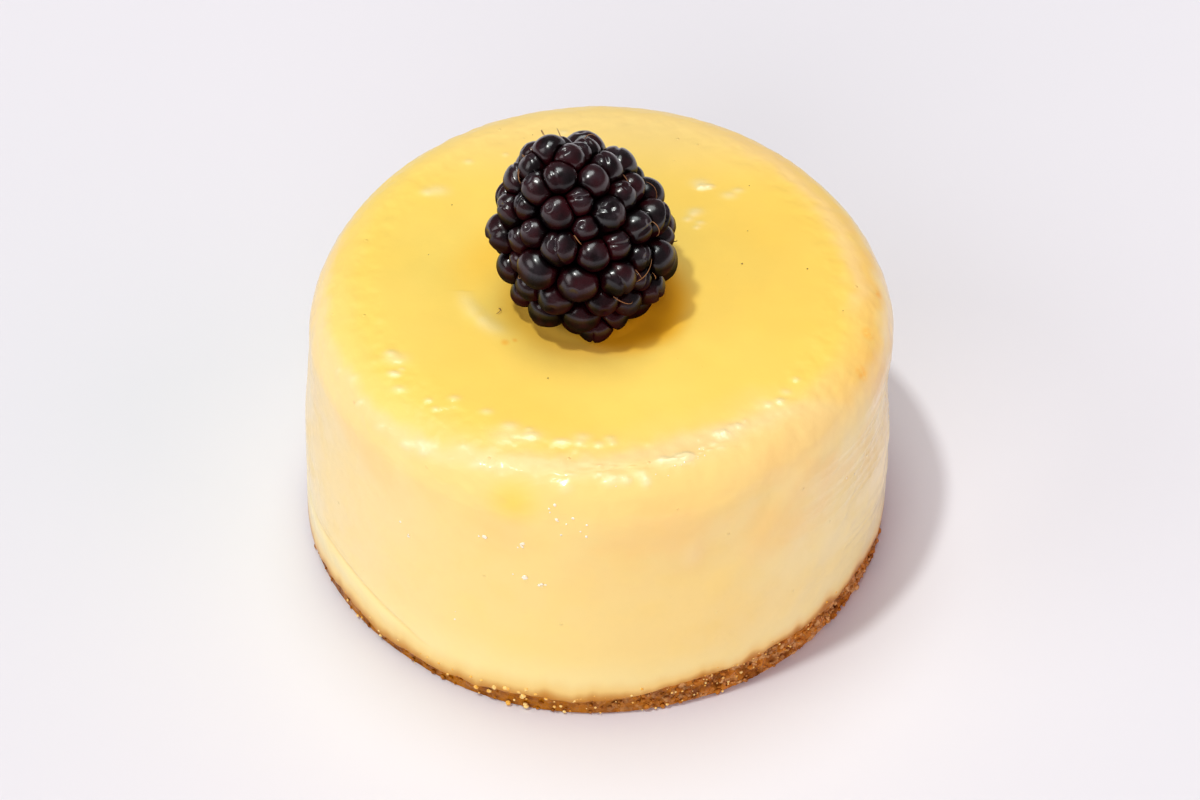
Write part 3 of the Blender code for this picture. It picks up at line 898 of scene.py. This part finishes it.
def berry_finish():
    """The berry's skin: nearly black, dark red where it is thin, greyed at the tips that look up partly by a dusty
    film and partly as painted sheen, and dull and black in the creases. The coat is its soft shine, and fine wrinkles
    streak the skin downwards."""
    colours = settings().colours
    finish = Finish("berry", Specular_IOR_Level=0.02, Coat_Roughness=0.23, Coat_IOR=1.72, IOR=1.45)
    open_skin = finish.share("open")
    shine = open_skin * finish.share("upper")
    streaks = finish.noise(0.42 * MM, 3.0, finish.vector("MULTIPLY", finish.place, (1.0, 1.0, 0.30)))
    wrinkles = finish.noise(0.30 * MM, 3.0) * 0.2 + finish.noise(1.0 * MM) * 0.5 + streaks * 0.5
    skin_colour = finish.laid(
        colours.berry,
        (finish.noise(3.4 * MM).step(0.38, 0.66) * open_skin, colours.berry_red),
        (finish.share("tip") * finish.noise(1.6 * MM, 3.0).step(0.30, 0.66), colours.bloom_and_painted_sheen),
    )
    finish.set(
        Base_Color=skin_colour,
        Roughness=0.75 - shine * (finish.noise(1.3 * MM, 3.0) * 0.20 + 0.42),
        Coat_Weight=shine * (finish.noise(2.0 * MM, 3.0).step(0.35, 0.65) * 0.30 + 0.70),
        Normal=finish.bump(wrinkles, 0.16 * MM),
    )
    return finish.material


def two_toned(name, size, first, second, ends=None, **sockets):
    """A finish that wanders between two of the named colours over about that size. Between its two ends, where it
    has them, the noise turns from one colour to the other."""
    colours = settings().colours
    finish = Finish(name, **sockets)
    share = finish.noise(size).step(*ends) if ends else finish.noise(size)
    finish.set(Base_Color=finish.mix(share, getattr(colours, first), getattr(colours, second)))
    return finish.material


# ---------------------------------------------------------------- the cake's layers

HIDDEN = 0.8  # share of the foot's radius within which the hidden faces lie level
OVERLAP = 0.5 * MM  # how far the crumbs reach up behind the cream
LIP = 0.55 * MM  # radius of the cream's soft lower lip
EDGE_RINGS = 26  # rings from the glaze's rim to the level top, in both layers alike, so that neither shows through


def biscuit_skin():
    """Rings of the crumb layer: flat below, grains of two sizes standing out of the side, level inside.

    The side's rings lie at even shares of the ragged line's height, plus the short overlap that the cream covers."""
    sizes = settings().sizes
    theta = ring_angles(sizes.around)
    line = ragged_line(theta) + OVERLAP
    height = line * steps(26)
    side, outward = upright_side(theta, height, sizes.inset)
    chunky = grains(side, 1.7 * MM, 41) - 0.45
    fine = grains(side, 0.75 * MM, 42) - 0.45
    holes = np.minimum(layered_noise(side, 2.4 * MM, 43) + 0.25, 0.0)
    share = height / line
    hem = smooth_step(0.0, 0.12, share) * (1.0 - 0.6 * smooth_step(0.8, 1.0, share)) * (1.0 - 0.7 * syrup(theta))
    side = raised(side, outward, MM * hem * (0.75 * chunky + 0.35 * fine + 0.8 * holes))
    side[0, :, :2] *= 1.0 - 0.5 * MM / sizes.foot_radius
    inner = HIDDEN * sizes.foot_radius
    under = turned(theta, inner * steps(3, 0.3, 1.0), 0.0)
    level = turned(theta, inner * steps(3, 1.0, 0.3), sizes.biscuit)
    return closed_rings(np.concatenate([under, side, level]))


def glaze_depth(share):
    """Thickness of the glaze, from its rim, at a share of 0, to the top, at a share of 1: it stays a film at first."""
    sizes = settings().sizes
    return sizes.glaze_rim + smooth_step(0.05, 1.0, share) * (sizes.glaze - sizes.glaze_rim)


def cream_skin():
    """Rings of the filling: level below, a soft lip that hangs over the crumbs, the side and the rounded edge
    with the skin's relief up to where the glaze ends, then the hidden step under the glaze."""
    sizes = settings().sizes
    theta = ring_angles(sizes.around)
    line = ragged_line(theta)
    under = turned(theta, HIDDEN * sizes.foot_radius * steps(3, 0.3, 1.0), sizes.biscuit + sizes.gap)
    curl = steps(5, math.radians(-90), math.radians(-15))
    lip = upright_side(theta, line + LIP + LIP * np.sin(curl), LIP * (1.0 - np.cos(curl)))
    side = upright_side(theta, line + LIP + steps(96) ** 1.25 * (shoulder_z() - line - LIP))
    edge = rounded_edge(theta, glaze_edge(theta) * steps(16, 0.07, 1.0))
    points, outward = map(np.concatenate, zip(lip, side, edge))
    past_lip = np.arange(len(points))[:, None] >= len(curl)
    skin = raised(points, outward, skin_relief(points) * past_lip)
    share = steps(EDGE_RINGS)[1:]
    depth = glaze_depth(share) + (sizes.gap + sizes.glaze_rim) * smooth_step(0.0, 0.2, share) - sizes.glaze_rim
    hidden = sunk(*glazed_edge(theta, share), depth)
    cover = sunk(*flat_top(theta, steps(6, 0.9, 0.1)), sizes.glaze + sizes.gap)
    return closed_rings(np.concatenate([under, skin, hidden, cover]))


def glaze_skin():
    """Rings of the glaze: its hidden underside outwards from the middle, then the outer skin from the wavy rim up
    the rounded edge and over the top, with the skin's relief and the berry's dent."""
    sizes = settings().sizes
    theta = ring_angles(sizes.around)
    share = steps(EDGE_RINGS)
    below = sunk(*flat_top(theta, steps(5, 0.1, 0.9)), sizes.glaze)
    tuck = sunk(*glazed_edge(theta, share[::-1]), glaze_depth(share[::-1]))
    edge = sunk(*glazed_edge(theta, share), 0.0)
    over = sunk(*flat_top(theta, steps(100, 0.99, 0.02)), 0.0)
    return closed_rings(np.concatenate([below, tuck, edge, over]))


# ---------------------------------------------------------------- crumbs, sugar, beads and specks

# Clusters of golden grains of sugar on the foot, which also paint glints there: angle round the cake, height and
# count.
SUGAR_CLUSTERS = [
    (-143, 2.6, 9), (-126, 2.8, 9), (-108, 2.4, 16), (-98, 2.2, 16), (-82, 3.0, 9), (-67, 3.4, 26),
    (-55, 4.2, 16), (-38, 4.0, 9), (20, 3.0, 12), (75, 2.8, 12), (130, 2.8, 12),
]  # fmt: skip

# Dark specks: x and y on the top, and degrees and height on the side, in millimetres.
TOP_SPECKS = [
    (-6.6, -17.8), (19.3, 10.3), (18.5, 4.0), (27.1, 3.3), (31.6, -4.4), (-20.2, 14.1), (-22.9, 4.4),
    (-9.8, 28.3), (19.6, 19.1),
]  # fmt: skip
SIDE_SPECKS = [(-68.3, 17.7), (-35.0, 24.0), (140.0, 20.0), (60.0, 12.0)]

LUMP_POLE = 0.45  # angle from a small lump's pole to its first ring
LUMPS_APART = 4000.0  # a lump's noise is taken at its place times this, so that each has its own


def outward_frames(ways, rng):
    """For each outward way, two directions across it at a random turn, and the way itself."""
    across = unit(np.cross(ways, rng.normal(size=ways.shape)))
    return np.stack([across, np.cross(ways, across), ways], axis=1)


def small_lumps(places, outward, radii, flatness, swelling, seed):
    """Closed skins round places: balls flattened along their outward directions, swollen and pinched by noise. Each
    is a few dozen faces."""
    frames = outward_frames(outward, np.random.default_rng(seed))
    angle = steps(5, np.pi - LUMP_POLE, LUMP_POLE)
    local = turned(ring_angles(8), np.sin(angle), flatness * np.cos(angle))
    balls = np.einsum("rpa,nab->nrpb", local, frames)
    swell = 1.0 + swelling * soft_noise(balls + each(places) * LUMPS_APART, 0.8, seed + 1)
    rings = each(places) + balls * (each(radii) * swell)[..., None]
    return many_closed_rings(turned_outwards(rings))


def crumb_lumps():
    """Loose crumbs on the biscuit's side, of three sizes drawn at random, half sunk in it."""
    rng = np.random.default_rng(51)
    theta = rng.uniform(0.0, 2.0 * np.pi, 1500)
    theta = theta[rng.random(len(theta)) > 0.85 * syrup(theta)]
    count = len(theta)
    radii = rng.choice([0.16, 0.26, 0.42], count, p=[0.55, 0.33, 0.12]) * rng.uniform(0.8, 1.25, count) * MM
    height = np.maximum(layer_line(theta) * rng.uniform(0.06, 0.97, count), radii)
    centres, outward = upright_side(theta, height, settings().sizes.inset - 0.05 * MM)
    verts, faces = small_lumps(centres, outward, radii, 0.75, 0.35, 52)
    verts[:, 2] = np.maximum(verts[:, 2], 0.0)
    return verts, faces


def sugar_and_painted_glints():
    """Small golden grains of wet sugar on the biscuit and the cream's hem, scattered round each cluster, whose colour
    also paints glints.
    """
    rng = np.random.default_rng(55)
    degrees, heights, counts = np.array(SUGAR_CLUSTERS).T
    repeat = counts.astype(int)
    theta = np.radians(np.repeat(degrees, repeat) + rng.normal(0.0, 4.0, repeat.sum()))
    z = MM * (np.repeat(heights, repeat) + rng.normal(0.0, 1.4, repeat.sum()))
    z = np.clip(z, 0.5 * MM, layer_line(theta) + 1.6 * MM)
    inset = np.where(z > ragged_line(theta), 0.02 * MM, settings().sizes.inset - 0.30 * MM)
    centres, outward = upright_side(theta, z, inset)
    radii = rng.uniform(0.09, 0.24, len(z)) * (1.0 + 0.9 * near_angle(theta, math.radians(-108), 0.35))
    return small_lumps(centres, outward, radii * MM, 0.7, 0.3, 56)


def wet_beads_painted_glints():
    """Tiny beads on the side, flatter than they are wide, coloured near white as painted glints."""
    places, widths = gleams(SPARKLE_ROWS)
    climbs = np.radians(np.clip(climb(places), 0.0, 90.0))[:, None]
    outward = unit(places * (1.0, 1.0, 0.0)) * np.cos(climbs) + UP * np.sin(climbs)
    return small_lumps(sunk(places, outward, 0.0), outward, 0.36 * widths, 0.7, 0.5, 87)


def glaze_specks():
    """Small dark specks: flat uneven lumps sunk in the skin, at places listed for the top and side."""
    top = np.array([(x * MM, y * MM, settings().sizes.height) for x, y in TOP_SPECKS])
    degrees, heights = np.array(SIDE_SPECKS).T
    side, _ = upright_side(np.radians(degrees), MM * heights)
    places = np.concatenate([top, side])
    outward = unit(np.concatenate([np.tile(UP, (len(top), 1)), side * (1.0, 1.0, 0.0)]))
    radii = np.random.default_rng(81).uniform(0.05, 0.15, len(places)) * MM
    return small_lumps(places, outward, radii, 0.5, 0.4, 82)


# ---------------------------------------------------------------- the berry

LOW_DRUPELET = (1.5 * MM, -8.0 * MM, -7.3 * MM)  # the one that sticks out below the others at the front
LOW_RADIUS = 2.3 * MM
GOLDEN_ANGLE = np.pi * (3.0 - math.sqrt(5.0))
SETTLING_ROUNDS = 160
DRUPELETS_APART = 900.0  # a drupelet's noise is taken at its place times this
REACH = np.pi * 0.80  # angle from a drupelet's tip to its last ring, which the core hides
NEIGHBOURS = 8  # how many others a drupelet is pressed by
SOFTNESS = 12.0  # power of the soft least, sharper when it is higher
HAIR_POINTS = 14  # points along a hair

# Hairs that fell on the glaze: x and y in millimetres, the way they point in degrees, and the curl.
FALLEN_HAIRS = [(-13.4, -5.3, -25, -2.6), (-10.6, 21.5, 200, 2.0)]


def berry_centre():
    """The middle of the berry's widest level."""
    berry = settings().berry
    return np.array([*berry.place, berry.level])


def egg_surface(directions, across, rise, drop):
    """Where directions from the widest level's centre meet an egg: one ellipsoid above it, a shorter one below."""
    tall = np.where(directions[..., 2] > 0.0, rise, drop)
    flat = (directions[..., 0] ** 2 + directions[..., 1] ** 2) / across**2
    return directions / np.sqrt(flat + (directions[..., 2] / tall) ** 2)[..., None]


def leaning_form(points):
    """The egg's points made narrower towards the tip and the foot. Above the widest level they lean to the left,
    more and more towards the tip."""
    berry = settings().berry
    height = points[..., 2:]
    narrow = 1.0 - berry.taper * smooth_step(0.0, berry.rise, height)
    narrow = narrow - 0.06 * smooth_step(0.3, 1.0, -height / berry.drop)
    shift = np.maximum(height, 0.0) * (0.35 + 0.65 * height / berry.rise) * (berry.lean, 0.0)
    return np.concatenate([points[..., :2] * narrow + shift, height], axis=-1)


def drupelet_packing():
    """Places and radii of the drupelets, by the same rule as the solid's: a golden spiral of unequal balls,
    pushed apart over the egg until they settle."""
    berry = settings().berry
    count = berry.drupelets
    rng = np.random.default_rng(7)
    radii = rng.uniform(berry.least, berry.most, count)
    mean = radii.mean()
    egg = (berry.width / 2.0 - mean, berry.rise - mean, berry.drop - mean)
    lowest = 1.08 * radii - berry.foot
    order = np.arange(count)
    height = 1.0 - (order + 0.5) / count * (1.0 + berry.foot / berry.drop)
    turn = order * GOLDEN_ANGLE + rng.normal(0.0, 0.12, count)
    points = egg_surface(turned(turn, np.sqrt(1.0 - height**2), height), *egg)
    radii *= 1.0 - 0.18 * smooth_step(0.3, 1.0, points[:, 2] / egg[1])
    for _ in range(SETTLING_ROUNDS):
        apart = points[:, None] - points[None]
        distance = np.linalg.norm(apart, axis=2) + np.eye(count)
        overlap = np.clip(0.92 * (radii[:, None] + radii[None]) - distance, 0.0, None)
        np.fill_diagonal(overlap, 0.0)
        push = (apart / distance[..., None] * overlap[..., None]).sum(axis=1)
        points = egg_surface(points + 0.30 * push, *egg)
        points[:, 2] = np.maximum(points[:, 2], lowest)
    stand_out = rng.normal(0.0, 0.25 * MM, count)
    points = leaning_form(points + unit(points) * stand_out[:, None])
    return np.concatenate([points, [LOW_DRUPELET]]), np.append(radii, LOW_RADIUS)


def drupelet_skins(points, radii):
    """Rings of every drupelet, about its own outward line.

    A drupelet is a ball pressed flat against its neighbours. Along a direction, its surface lies at the soft least
    of its own radius and the distances to the planes half way to each neighbour. The soft least of lengths is
    their powers to -12, added, to the power -1/12. Some have the pit of a dried style at the tip, a bell curve in
    the angle from the line, with a low rim round it, and some a groove across. The fourth number of each point is 1
    where the skin is free and 0 in the creases between drupelets, the fifth is 1 where it looks up and less below,
    and the sixth is 1 at each tip that looks up."""
    berry = settings().berry
    rng = np.random.default_rng(61)
    count = len(points)
    frames = outward_frames(unit(unit(points) + rng.normal(0.0, 0.16, points.shape)), rng)
    angle = REACH * steps(22, 0.05, 1.0) ** 1.35
    local = turned(ring_angles(32), np.sin(angle), np.cos(angle))
    ways = np.einsum("rpa,nab->nrpb", local, frames)

    points = points - unit(points) * (0.8 * (berry.swelling - 1.0) * radii)[:, None]
    distance, order = neighbours(points)
    beside = order[:, 1 : NEIGHBOURS + 1]
    towards = unit(points[beside] - points[:, None])
    apart = np.take_along_axis(distance, beside, axis=1)
    plane = apart * radii[:, None] / (radii[:, None] + radii[beside])
    facing = np.clip(np.einsum("nrpc,nkc->nrpk", ways, towards), 0.0, None)

    uneven = 1.0 + 0.08 * soft_noise(ways + each(points) * DRUPELETS_APART, 1.0, 62)
    own = each(radii) * berry.swelling * uneven * (1.0 + 0.07 * np.cos(angle) ** 2 * (np.cos(angle) > 0.0))
    pressed = (own**-SOFTNESS + ((facing / each(plane)) ** SOFTNESS).sum(axis=-1)) ** (-1.0 / SOFTNESS)
    free = smooth_step(0.82, 0.985, pressed / own) * fade(1.35, 1.95, angle)
    has_pit = each((rng.random(count) < 0.55) * rng.uniform(0.5, 1.2, count))
    pit = -0.11 * bell(angle, 0.15) + 0.035 * bell(angle - 0.30, 0.10)
    has_groove = each((rng.random(count) < 0.42) * rng.uniform(0.5, 1.6, count))
    across = local[..., 0] - each(rng.uniform(-0.25, 0.25, count)) - 0.25 * local[..., 1] ** 2
    groove = -0.10 * bell(across, 0.085) * (local[..., 2] > 0.0)
    shape = pressed + each(radii) * (has_pit * pit + has_groove * groove)
    rings = each(points) + ways * shape[..., None]
    rings[..., 2] = np.maximum(rings[..., 2], -berry.foot)
    upper = 0.06 + 0.94 * smooth_step(-0.05, 0.52, ways[..., 2])
    # The tips that look up take the greyish colour, partly a dusty film and partly painted sheen.
    tip = smooth_step(-0.5, 0.4, ways[..., 2]) * bell(angle, 0.48)
    rings = np.concatenate([rings + berry_centre(), np.stack([free, upper, tip], axis=-1)], axis=-1)
    return many_closed_rings(turned_outwards(rings[:, ::-1]))


def berry_core():
    """The core: an egg like the one that the drupelets' middles lie on, cut level at the hull."""
    berry = settings().berry
    relief = (berry.least + berry.most) / 2.0
    angle = steps(24, np.pi * 0.98, np.pi * 0.02)
    ways = turned(ring_angles(48), np.sin(angle), np.cos(angle))
    rings = leaning_form(egg_surface(ways, berry.width / 2.0 - relief, berry.rise - relief, berry.drop - relief))
    rings[..., 2] = np.maximum(rings[..., 2], 0.4 * MM - berry.foot)
    return closed_rings(np.concatenate([rings + berry_centre(), np.zeros_like(rings)], axis=-1))


def thin_tubes(line, beside, thickness):
    """Closed six-sided tubes along lines of points, one in a row. Beside is a direction that a line doesn't take."""
    ahead = unit(np.gradient(line, axis=1))
    side = unit(np.cross(ahead, beside[:, None]))
    other = np.cross(ahead, side)
    around = ring_angles(6).T
    circle = side[:, :, None] * np.cos(around) + other[:, :, None] * np.sin(around)
    return many_closed_rings(turned_outwards(line[:, :, None] + circle * thickness[..., None, None]))


def style_hairs(points, radii):
    """Dried styles: thin tapering tubes that leave the creases between neighbours. The way that a tube takes slants
    outwards at first, less and less, and bends back with the square of the share of its length, as an arc or hook."""
    hairs = settings().berry.hairs
    rng = np.random.default_rng(71)
    _, order = neighbours(points)
    first = rng.integers(0, len(points), hairs)
    second = order[first, rng.integers(1, 5, hairs)]
    share = (radii[first] / (radii[first] + radii[second]))[:, None]
    root = points[first] * (1.0 - share) + points[second] * share
    outward = unit(root)
    along = unit(np.cross(points[second] - points[first], outward))
    along *= rng.choice([-1.0, 1.0], hairs)[:, None]
    start = root + outward * (0.55 * radii[first])[:, None]
    length = rng.uniform(1.8, 4.2, hairs) * MM
    curl = rng.uniform(0.4, 2.3, hairs)[:, None]
    rise = rng.uniform(0.25, 1.0, hairs)[:, None]
    share = steps(HAIR_POINTS).T
    turn = rise * (1.0 - share) * np.pi / 2 - curl * share**2 * 0.9
    step = each(length) / (HAIR_POINTS - 1)
    moves = (outward[:, None] * np.sin(turn)[..., None] + along[:, None] * np.cos(turn)[..., None]) * step
    line = start[:, None] + np.cumsum(moves, axis=1)
    thickness = 0.07 * MM * (1.0 - 0.65 * share**2) * rng.uniform(0.8, 1.2, hairs)[:, None]
    return thin_tubes(line + berry_centre(), outward + 0.31 * along, thickness)


def fallen_hairs():
    """Dried styles lying on the glaze: arcs that turn steadily, a little off the skin in their middle."""
    x, y, way, curl = np.array(FALLEN_HAIRS).T[..., None]
    share = steps(HAIR_POINTS).T
    turn = np.radians(way) + curl * share
    length = 1.5 / HAIR_POINTS
    height = settings().sizes.height / MM + 0.02 + 0.25 * np.sin(np.pi * share)
    ahead = [x + length * np.cumsum(np.cos(turn), axis=1), y + length * np.cumsum(np.sin(turn), axis=1)]
    line = np.stack(np.broadcast_arrays(*ahead, height), axis=-1)
    thickness = np.broadcast_to(0.06 * MM * (1.0 - 0.4 * share), turn.shape)
    return thin_tubes(line * MM, np.tile(UP, (len(line), 1)), thickness)


# ---------------------------------------------------------------- the stage

AIM = np.array([0.0, 0.0, 0.02])  # what the lights look at
FLOOR_REACH = 3.0
FLOOR_PATCH = 0.4  # width of its faint patches
ROOM_COLOUR = (1.0, 0.84, 0.92, 1.0)
CAMERA_PLACE = (0.144 * MM, -375.0 * MM, 409.85 * MM)
ELEVATION = math.radians(46.14)
ROLL = math.radians(1.24)

# Suns: name, the setting for their strength, direction from the cake, irradiance, degrees across, colour, and whether
# wet skins mirror them.
SUNS = [
    ("key", "key", (-0.265, -0.123, 0.957), 1.22, 4.0, (0.97, 1.0, 0.96), True),
    ("overhead", "key", (-0.06, 0.20, 0.97), 1.16, 32.0, (0.93, 1.0, 0.99), True),
    ("left_window", "fill", (-0.80, -0.27, 0.53), 0.50, 30.0, (1.0, 0.98, 0.99), True),
    ("front_fill", "fill", (-0.28, -1.0, 0.36), 1.38, 50.0, (1.0, 0.93, 0.94), False),
    ("right_fill", "fill", (1.0, -0.25, 0.45), 0.86, 60.0, (1.0, 0.56, 0.60), False),
]


def put(name, data, side, back, place):
    """A light or camera at a place, with its right-hand side and its back turned those ways."""
    thing = bpy.data.objects.new(name, data)
    turn = Matrix(np.array([side, np.cross(back, side), back]).T.tolist()).to_4x4()
    thing.matrix_world = Matrix.Translation(place) @ turn
    bpy.context.scene.collection.objects.link(thing)
    return thing


def make_floor():
    """A wide flat floor at the cake's foot, with faint patches."""
    corners = np.array([(-1.0, -1.0, 0.0), (1.0, -1.0, 0.0), (1.0, 1.0, 0.0), (-1.0, 1.0, 0.0)]) * FLOOR_REACH
    floor = mesh_piece("floor", corners + UP * FOOT_Z, [np.array([[0, 1, 2, 3]])])
    patchy = two_toned("floor", FLOOR_PATCH, "floor", "floor_shade", Roughness=0.7, Specular_IOR_Level=0.15)
    floor.data.materials.append(patchy)


def make_lights():
    """A small hard key from above the front left, a wide softer one overhead, a window low on the left, soft fills
    that leave no mirror images, and a plain room."""
    light = settings().light
    for name, setting, direction, irradiance, spread, colour, mirrored in SUNS:
        data = bpy.data.lights.new(name, "SUN")
        data.energy = irradiance * getattr(light, setting)
        data.angle = math.radians(spread)
        data.color = colour
        back = unit(np.array(direction))
        put(name, data, unit(np.cross(UP, back)), back, AIM + back).visible_glossy = mirrored
    world = bpy.data.worlds.new("plain_room")
    world.use_nodes = True
    background = world.node_tree.nodes["Background"]
    background.inputs["Color"].default_value = ROOM_COLOUR
    background.inputs["Strength"].default_value = light.sky
    bpy.context.scene.world = world


def make_camera():
    """The photograph's camera: a long lens, 46 degrees up, rolled a little over one degree."""
    data = bpy.data.cameras.new("camera")
    data.lens = 120.0
    data.sensor_width = 36.0
    back = np.array([0.0, -math.cos(ELEVATION), math.sin(ELEVATION)])
    level_up = np.array([0.0, math.sin(ELEVATION), math.cos(ELEVATION)])
    side = np.array([math.cos(ROLL), 0.0, 0.0]) + level_up * math.sin(ROLL)
    bpy.context.scene.camera = put("camera", data, side, back, CAMERA_PLACE)


# ---------------------------------------------------------------- operators and the panel


class MakeBiscuit(bpy.types.Operator):
    """Makes the crumb layer, its loose crumbs and the sugar on it, whose golden grains also paint glints"""

    bl_idname = "cheesecake.make_biscuit"
    bl_label = "Biscuit"

    def execute(self, context):
        finish = biscuit_finish()
        skins = (("crumb_biscuit", biscuit_skin(), ["biscuit_base"]), ("loose_crumbs", crumb_lumps(), []))
        for name, skin, nodes in skins:
            verts, _ = skin
            tints = {"syrup": syrup(np.arctan2(verts[:, 1], verts[:, 0]))}
            cake_piece(name, skin, finish, "biscuit", *nodes, tints=tints)
        shine = {"Roughness": 0.25, "Coat_Weight": 0.35, "Coat_Roughness": 0.10, "IOR": 1.45}
        wet_sugar_painted_glint = two_toned("wet_sugar_painted_glint", 0.9 * MM, "sugar", "sugar_pale", (0.35, 0.65), **shine)
        cake_piece("sugar_and_painted_glints", sugar_and_painted_glints(), wet_sugar_painted_glint, "biscuit")
        return {"FINISHED"}


class MakeFilling(bpy.types.Operator):
    """Makes the pale filling"""

    bl_idname = "cheesecake.make_filling"
    bl_label = "Filling"

    def execute(self, context):
        verts, faces = cream_skin()
        cream = cake_finish("cream", "stain_and_painted_shade")
        cake_piece("cream_filling", (verts, faces), cream, "filling", "cheesecake_filling", tints=cake_tints(verts))
        return {"FINISHED"}


class MakeGlaze(bpy.types.Operator):
    """Makes the yellow glaze, its wet beads painted pale as glints, and the specks in it"""

    bl_idname = "cheesecake.make_glaze"
    bl_label = "Glaze"

    def execute(self, context):
        verts, faces = glaze_skin()
        # The glaze's film is thinner where the berry's shade is painted.
        glaze = cake_finish("glaze", "painted_berry_shade")
        cake_piece("fruit_glaze", (verts, faces), glaze, "glaze", "glaze_top", tints=cake_tints(verts))
        shine = {"Roughness": 0.12, "Coat_Weight": 1.0, "Coat_Roughness": 0.03, "IOR": 1.45}
        painted_glint_finish = two_toned("wet_bead_painted_glint", 0.6 * MM, "painted_glint_bead", "painted_glint_bead_yellow", **shine)
        cake_piece("wet_beads_painted_glints", wet_beads_painted_glints(), painted_glint_finish, "glaze")
        dark = two_toned("speck", 0.3 * MM, "speck", "speck_pale", Roughness=0.5)
        cake_piece("glaze_specks", glaze_specks(), dark, "glaze")
        return {"FINISHED"}


class MakeBerry(bpy.types.Operator):
    """Makes the berry and its dried styles"""

    bl_idname = "cheesecake.make_berry"
    bl_label = "Berry"

    def execute(self, context):
        points, radii = drupelet_packing()
        verts, faces = joined(drupelet_skins(points, radii), berry_core())
        tints = {"open": verts[:, 3], "upper": verts[:, 4], "tip": verts[:, 5]}
        cake_piece("berry_drupelets", (verts, faces), berry_finish(), "berry", "bramble_berry", tints=tints)
        tan = two_toned("dried_style", 0.8 * MM, "style", "style_dark", Roughness=0.55)
        cake_piece("berry_styles", joined(style_hairs(points, radii), fallen_hairs()), tan, "berry")
        return {"FINISHED"}


class MakeStage(bpy.types.Operator):
    """Makes the floor, the lights and the camera"""

    bl_idname = "cheesecake.make_stage"
    bl_label = "Stage"

    def execute(self, context):
        make_floor()
        make_lights()
        make_camera()
        context.scene.view_settings.view_transform = "Standard"
        return {"FINISHED"}


class CheesecakePanel(bpy.types.Panel):
    """Lists the settings and the pieces"""

    bl_idname = "VIEW3D_PT_cheesecake"
    bl_label = "Cheesecake"
    bl_space_type = "VIEW_3D"
    bl_region_type = "UI"
    bl_category = "Cheesecake"

    def draw(self, context):
        for group in (settings().sizes, settings().berry, settings().colours, settings().light):
            box = self.layout.box()
            for name in group.bl_rna.properties.keys():
                if name not in {"rna_type", "name"}:
                    box.prop(group, name)
        for operator in OPERATORS:
            self.layout.operator(operator.bl_idname)


# ---------------------------------------------------------------- registering and running

GROUPS = (CakeSizes, BerrySizes, Colours, StudioLight, CheesecakeSettings)
OPERATORS = (MakeBiscuit, MakeFilling, MakeGlaze, MakeBerry, MakeStage)


def register():
    for kind in (*GROUPS, *OPERATORS, CheesecakePanel):
        bpy.utils.register_class(kind)
    bpy.types.Scene.cheesecake = bpy.props.PointerProperty(type=CheesecakeSettings)


def unregister():
    del bpy.types.Scene.cheesecake
    for kind in reversed((*GROUPS, *OPERATORS, CheesecakePanel)):
        bpy.utils.unregister_class(kind)


def main():
    """Makes every piece and the stage."""
    register()
    bpy.ops.cheesecake.make_biscuit()
    bpy.ops.cheesecake.make_filling()
    bpy.ops.cheesecake.make_glaze()
    bpy.ops.cheesecake.make_berry()
    bpy.ops.cheesecake.make_stage()


if __name__ == "__main__":
    main()
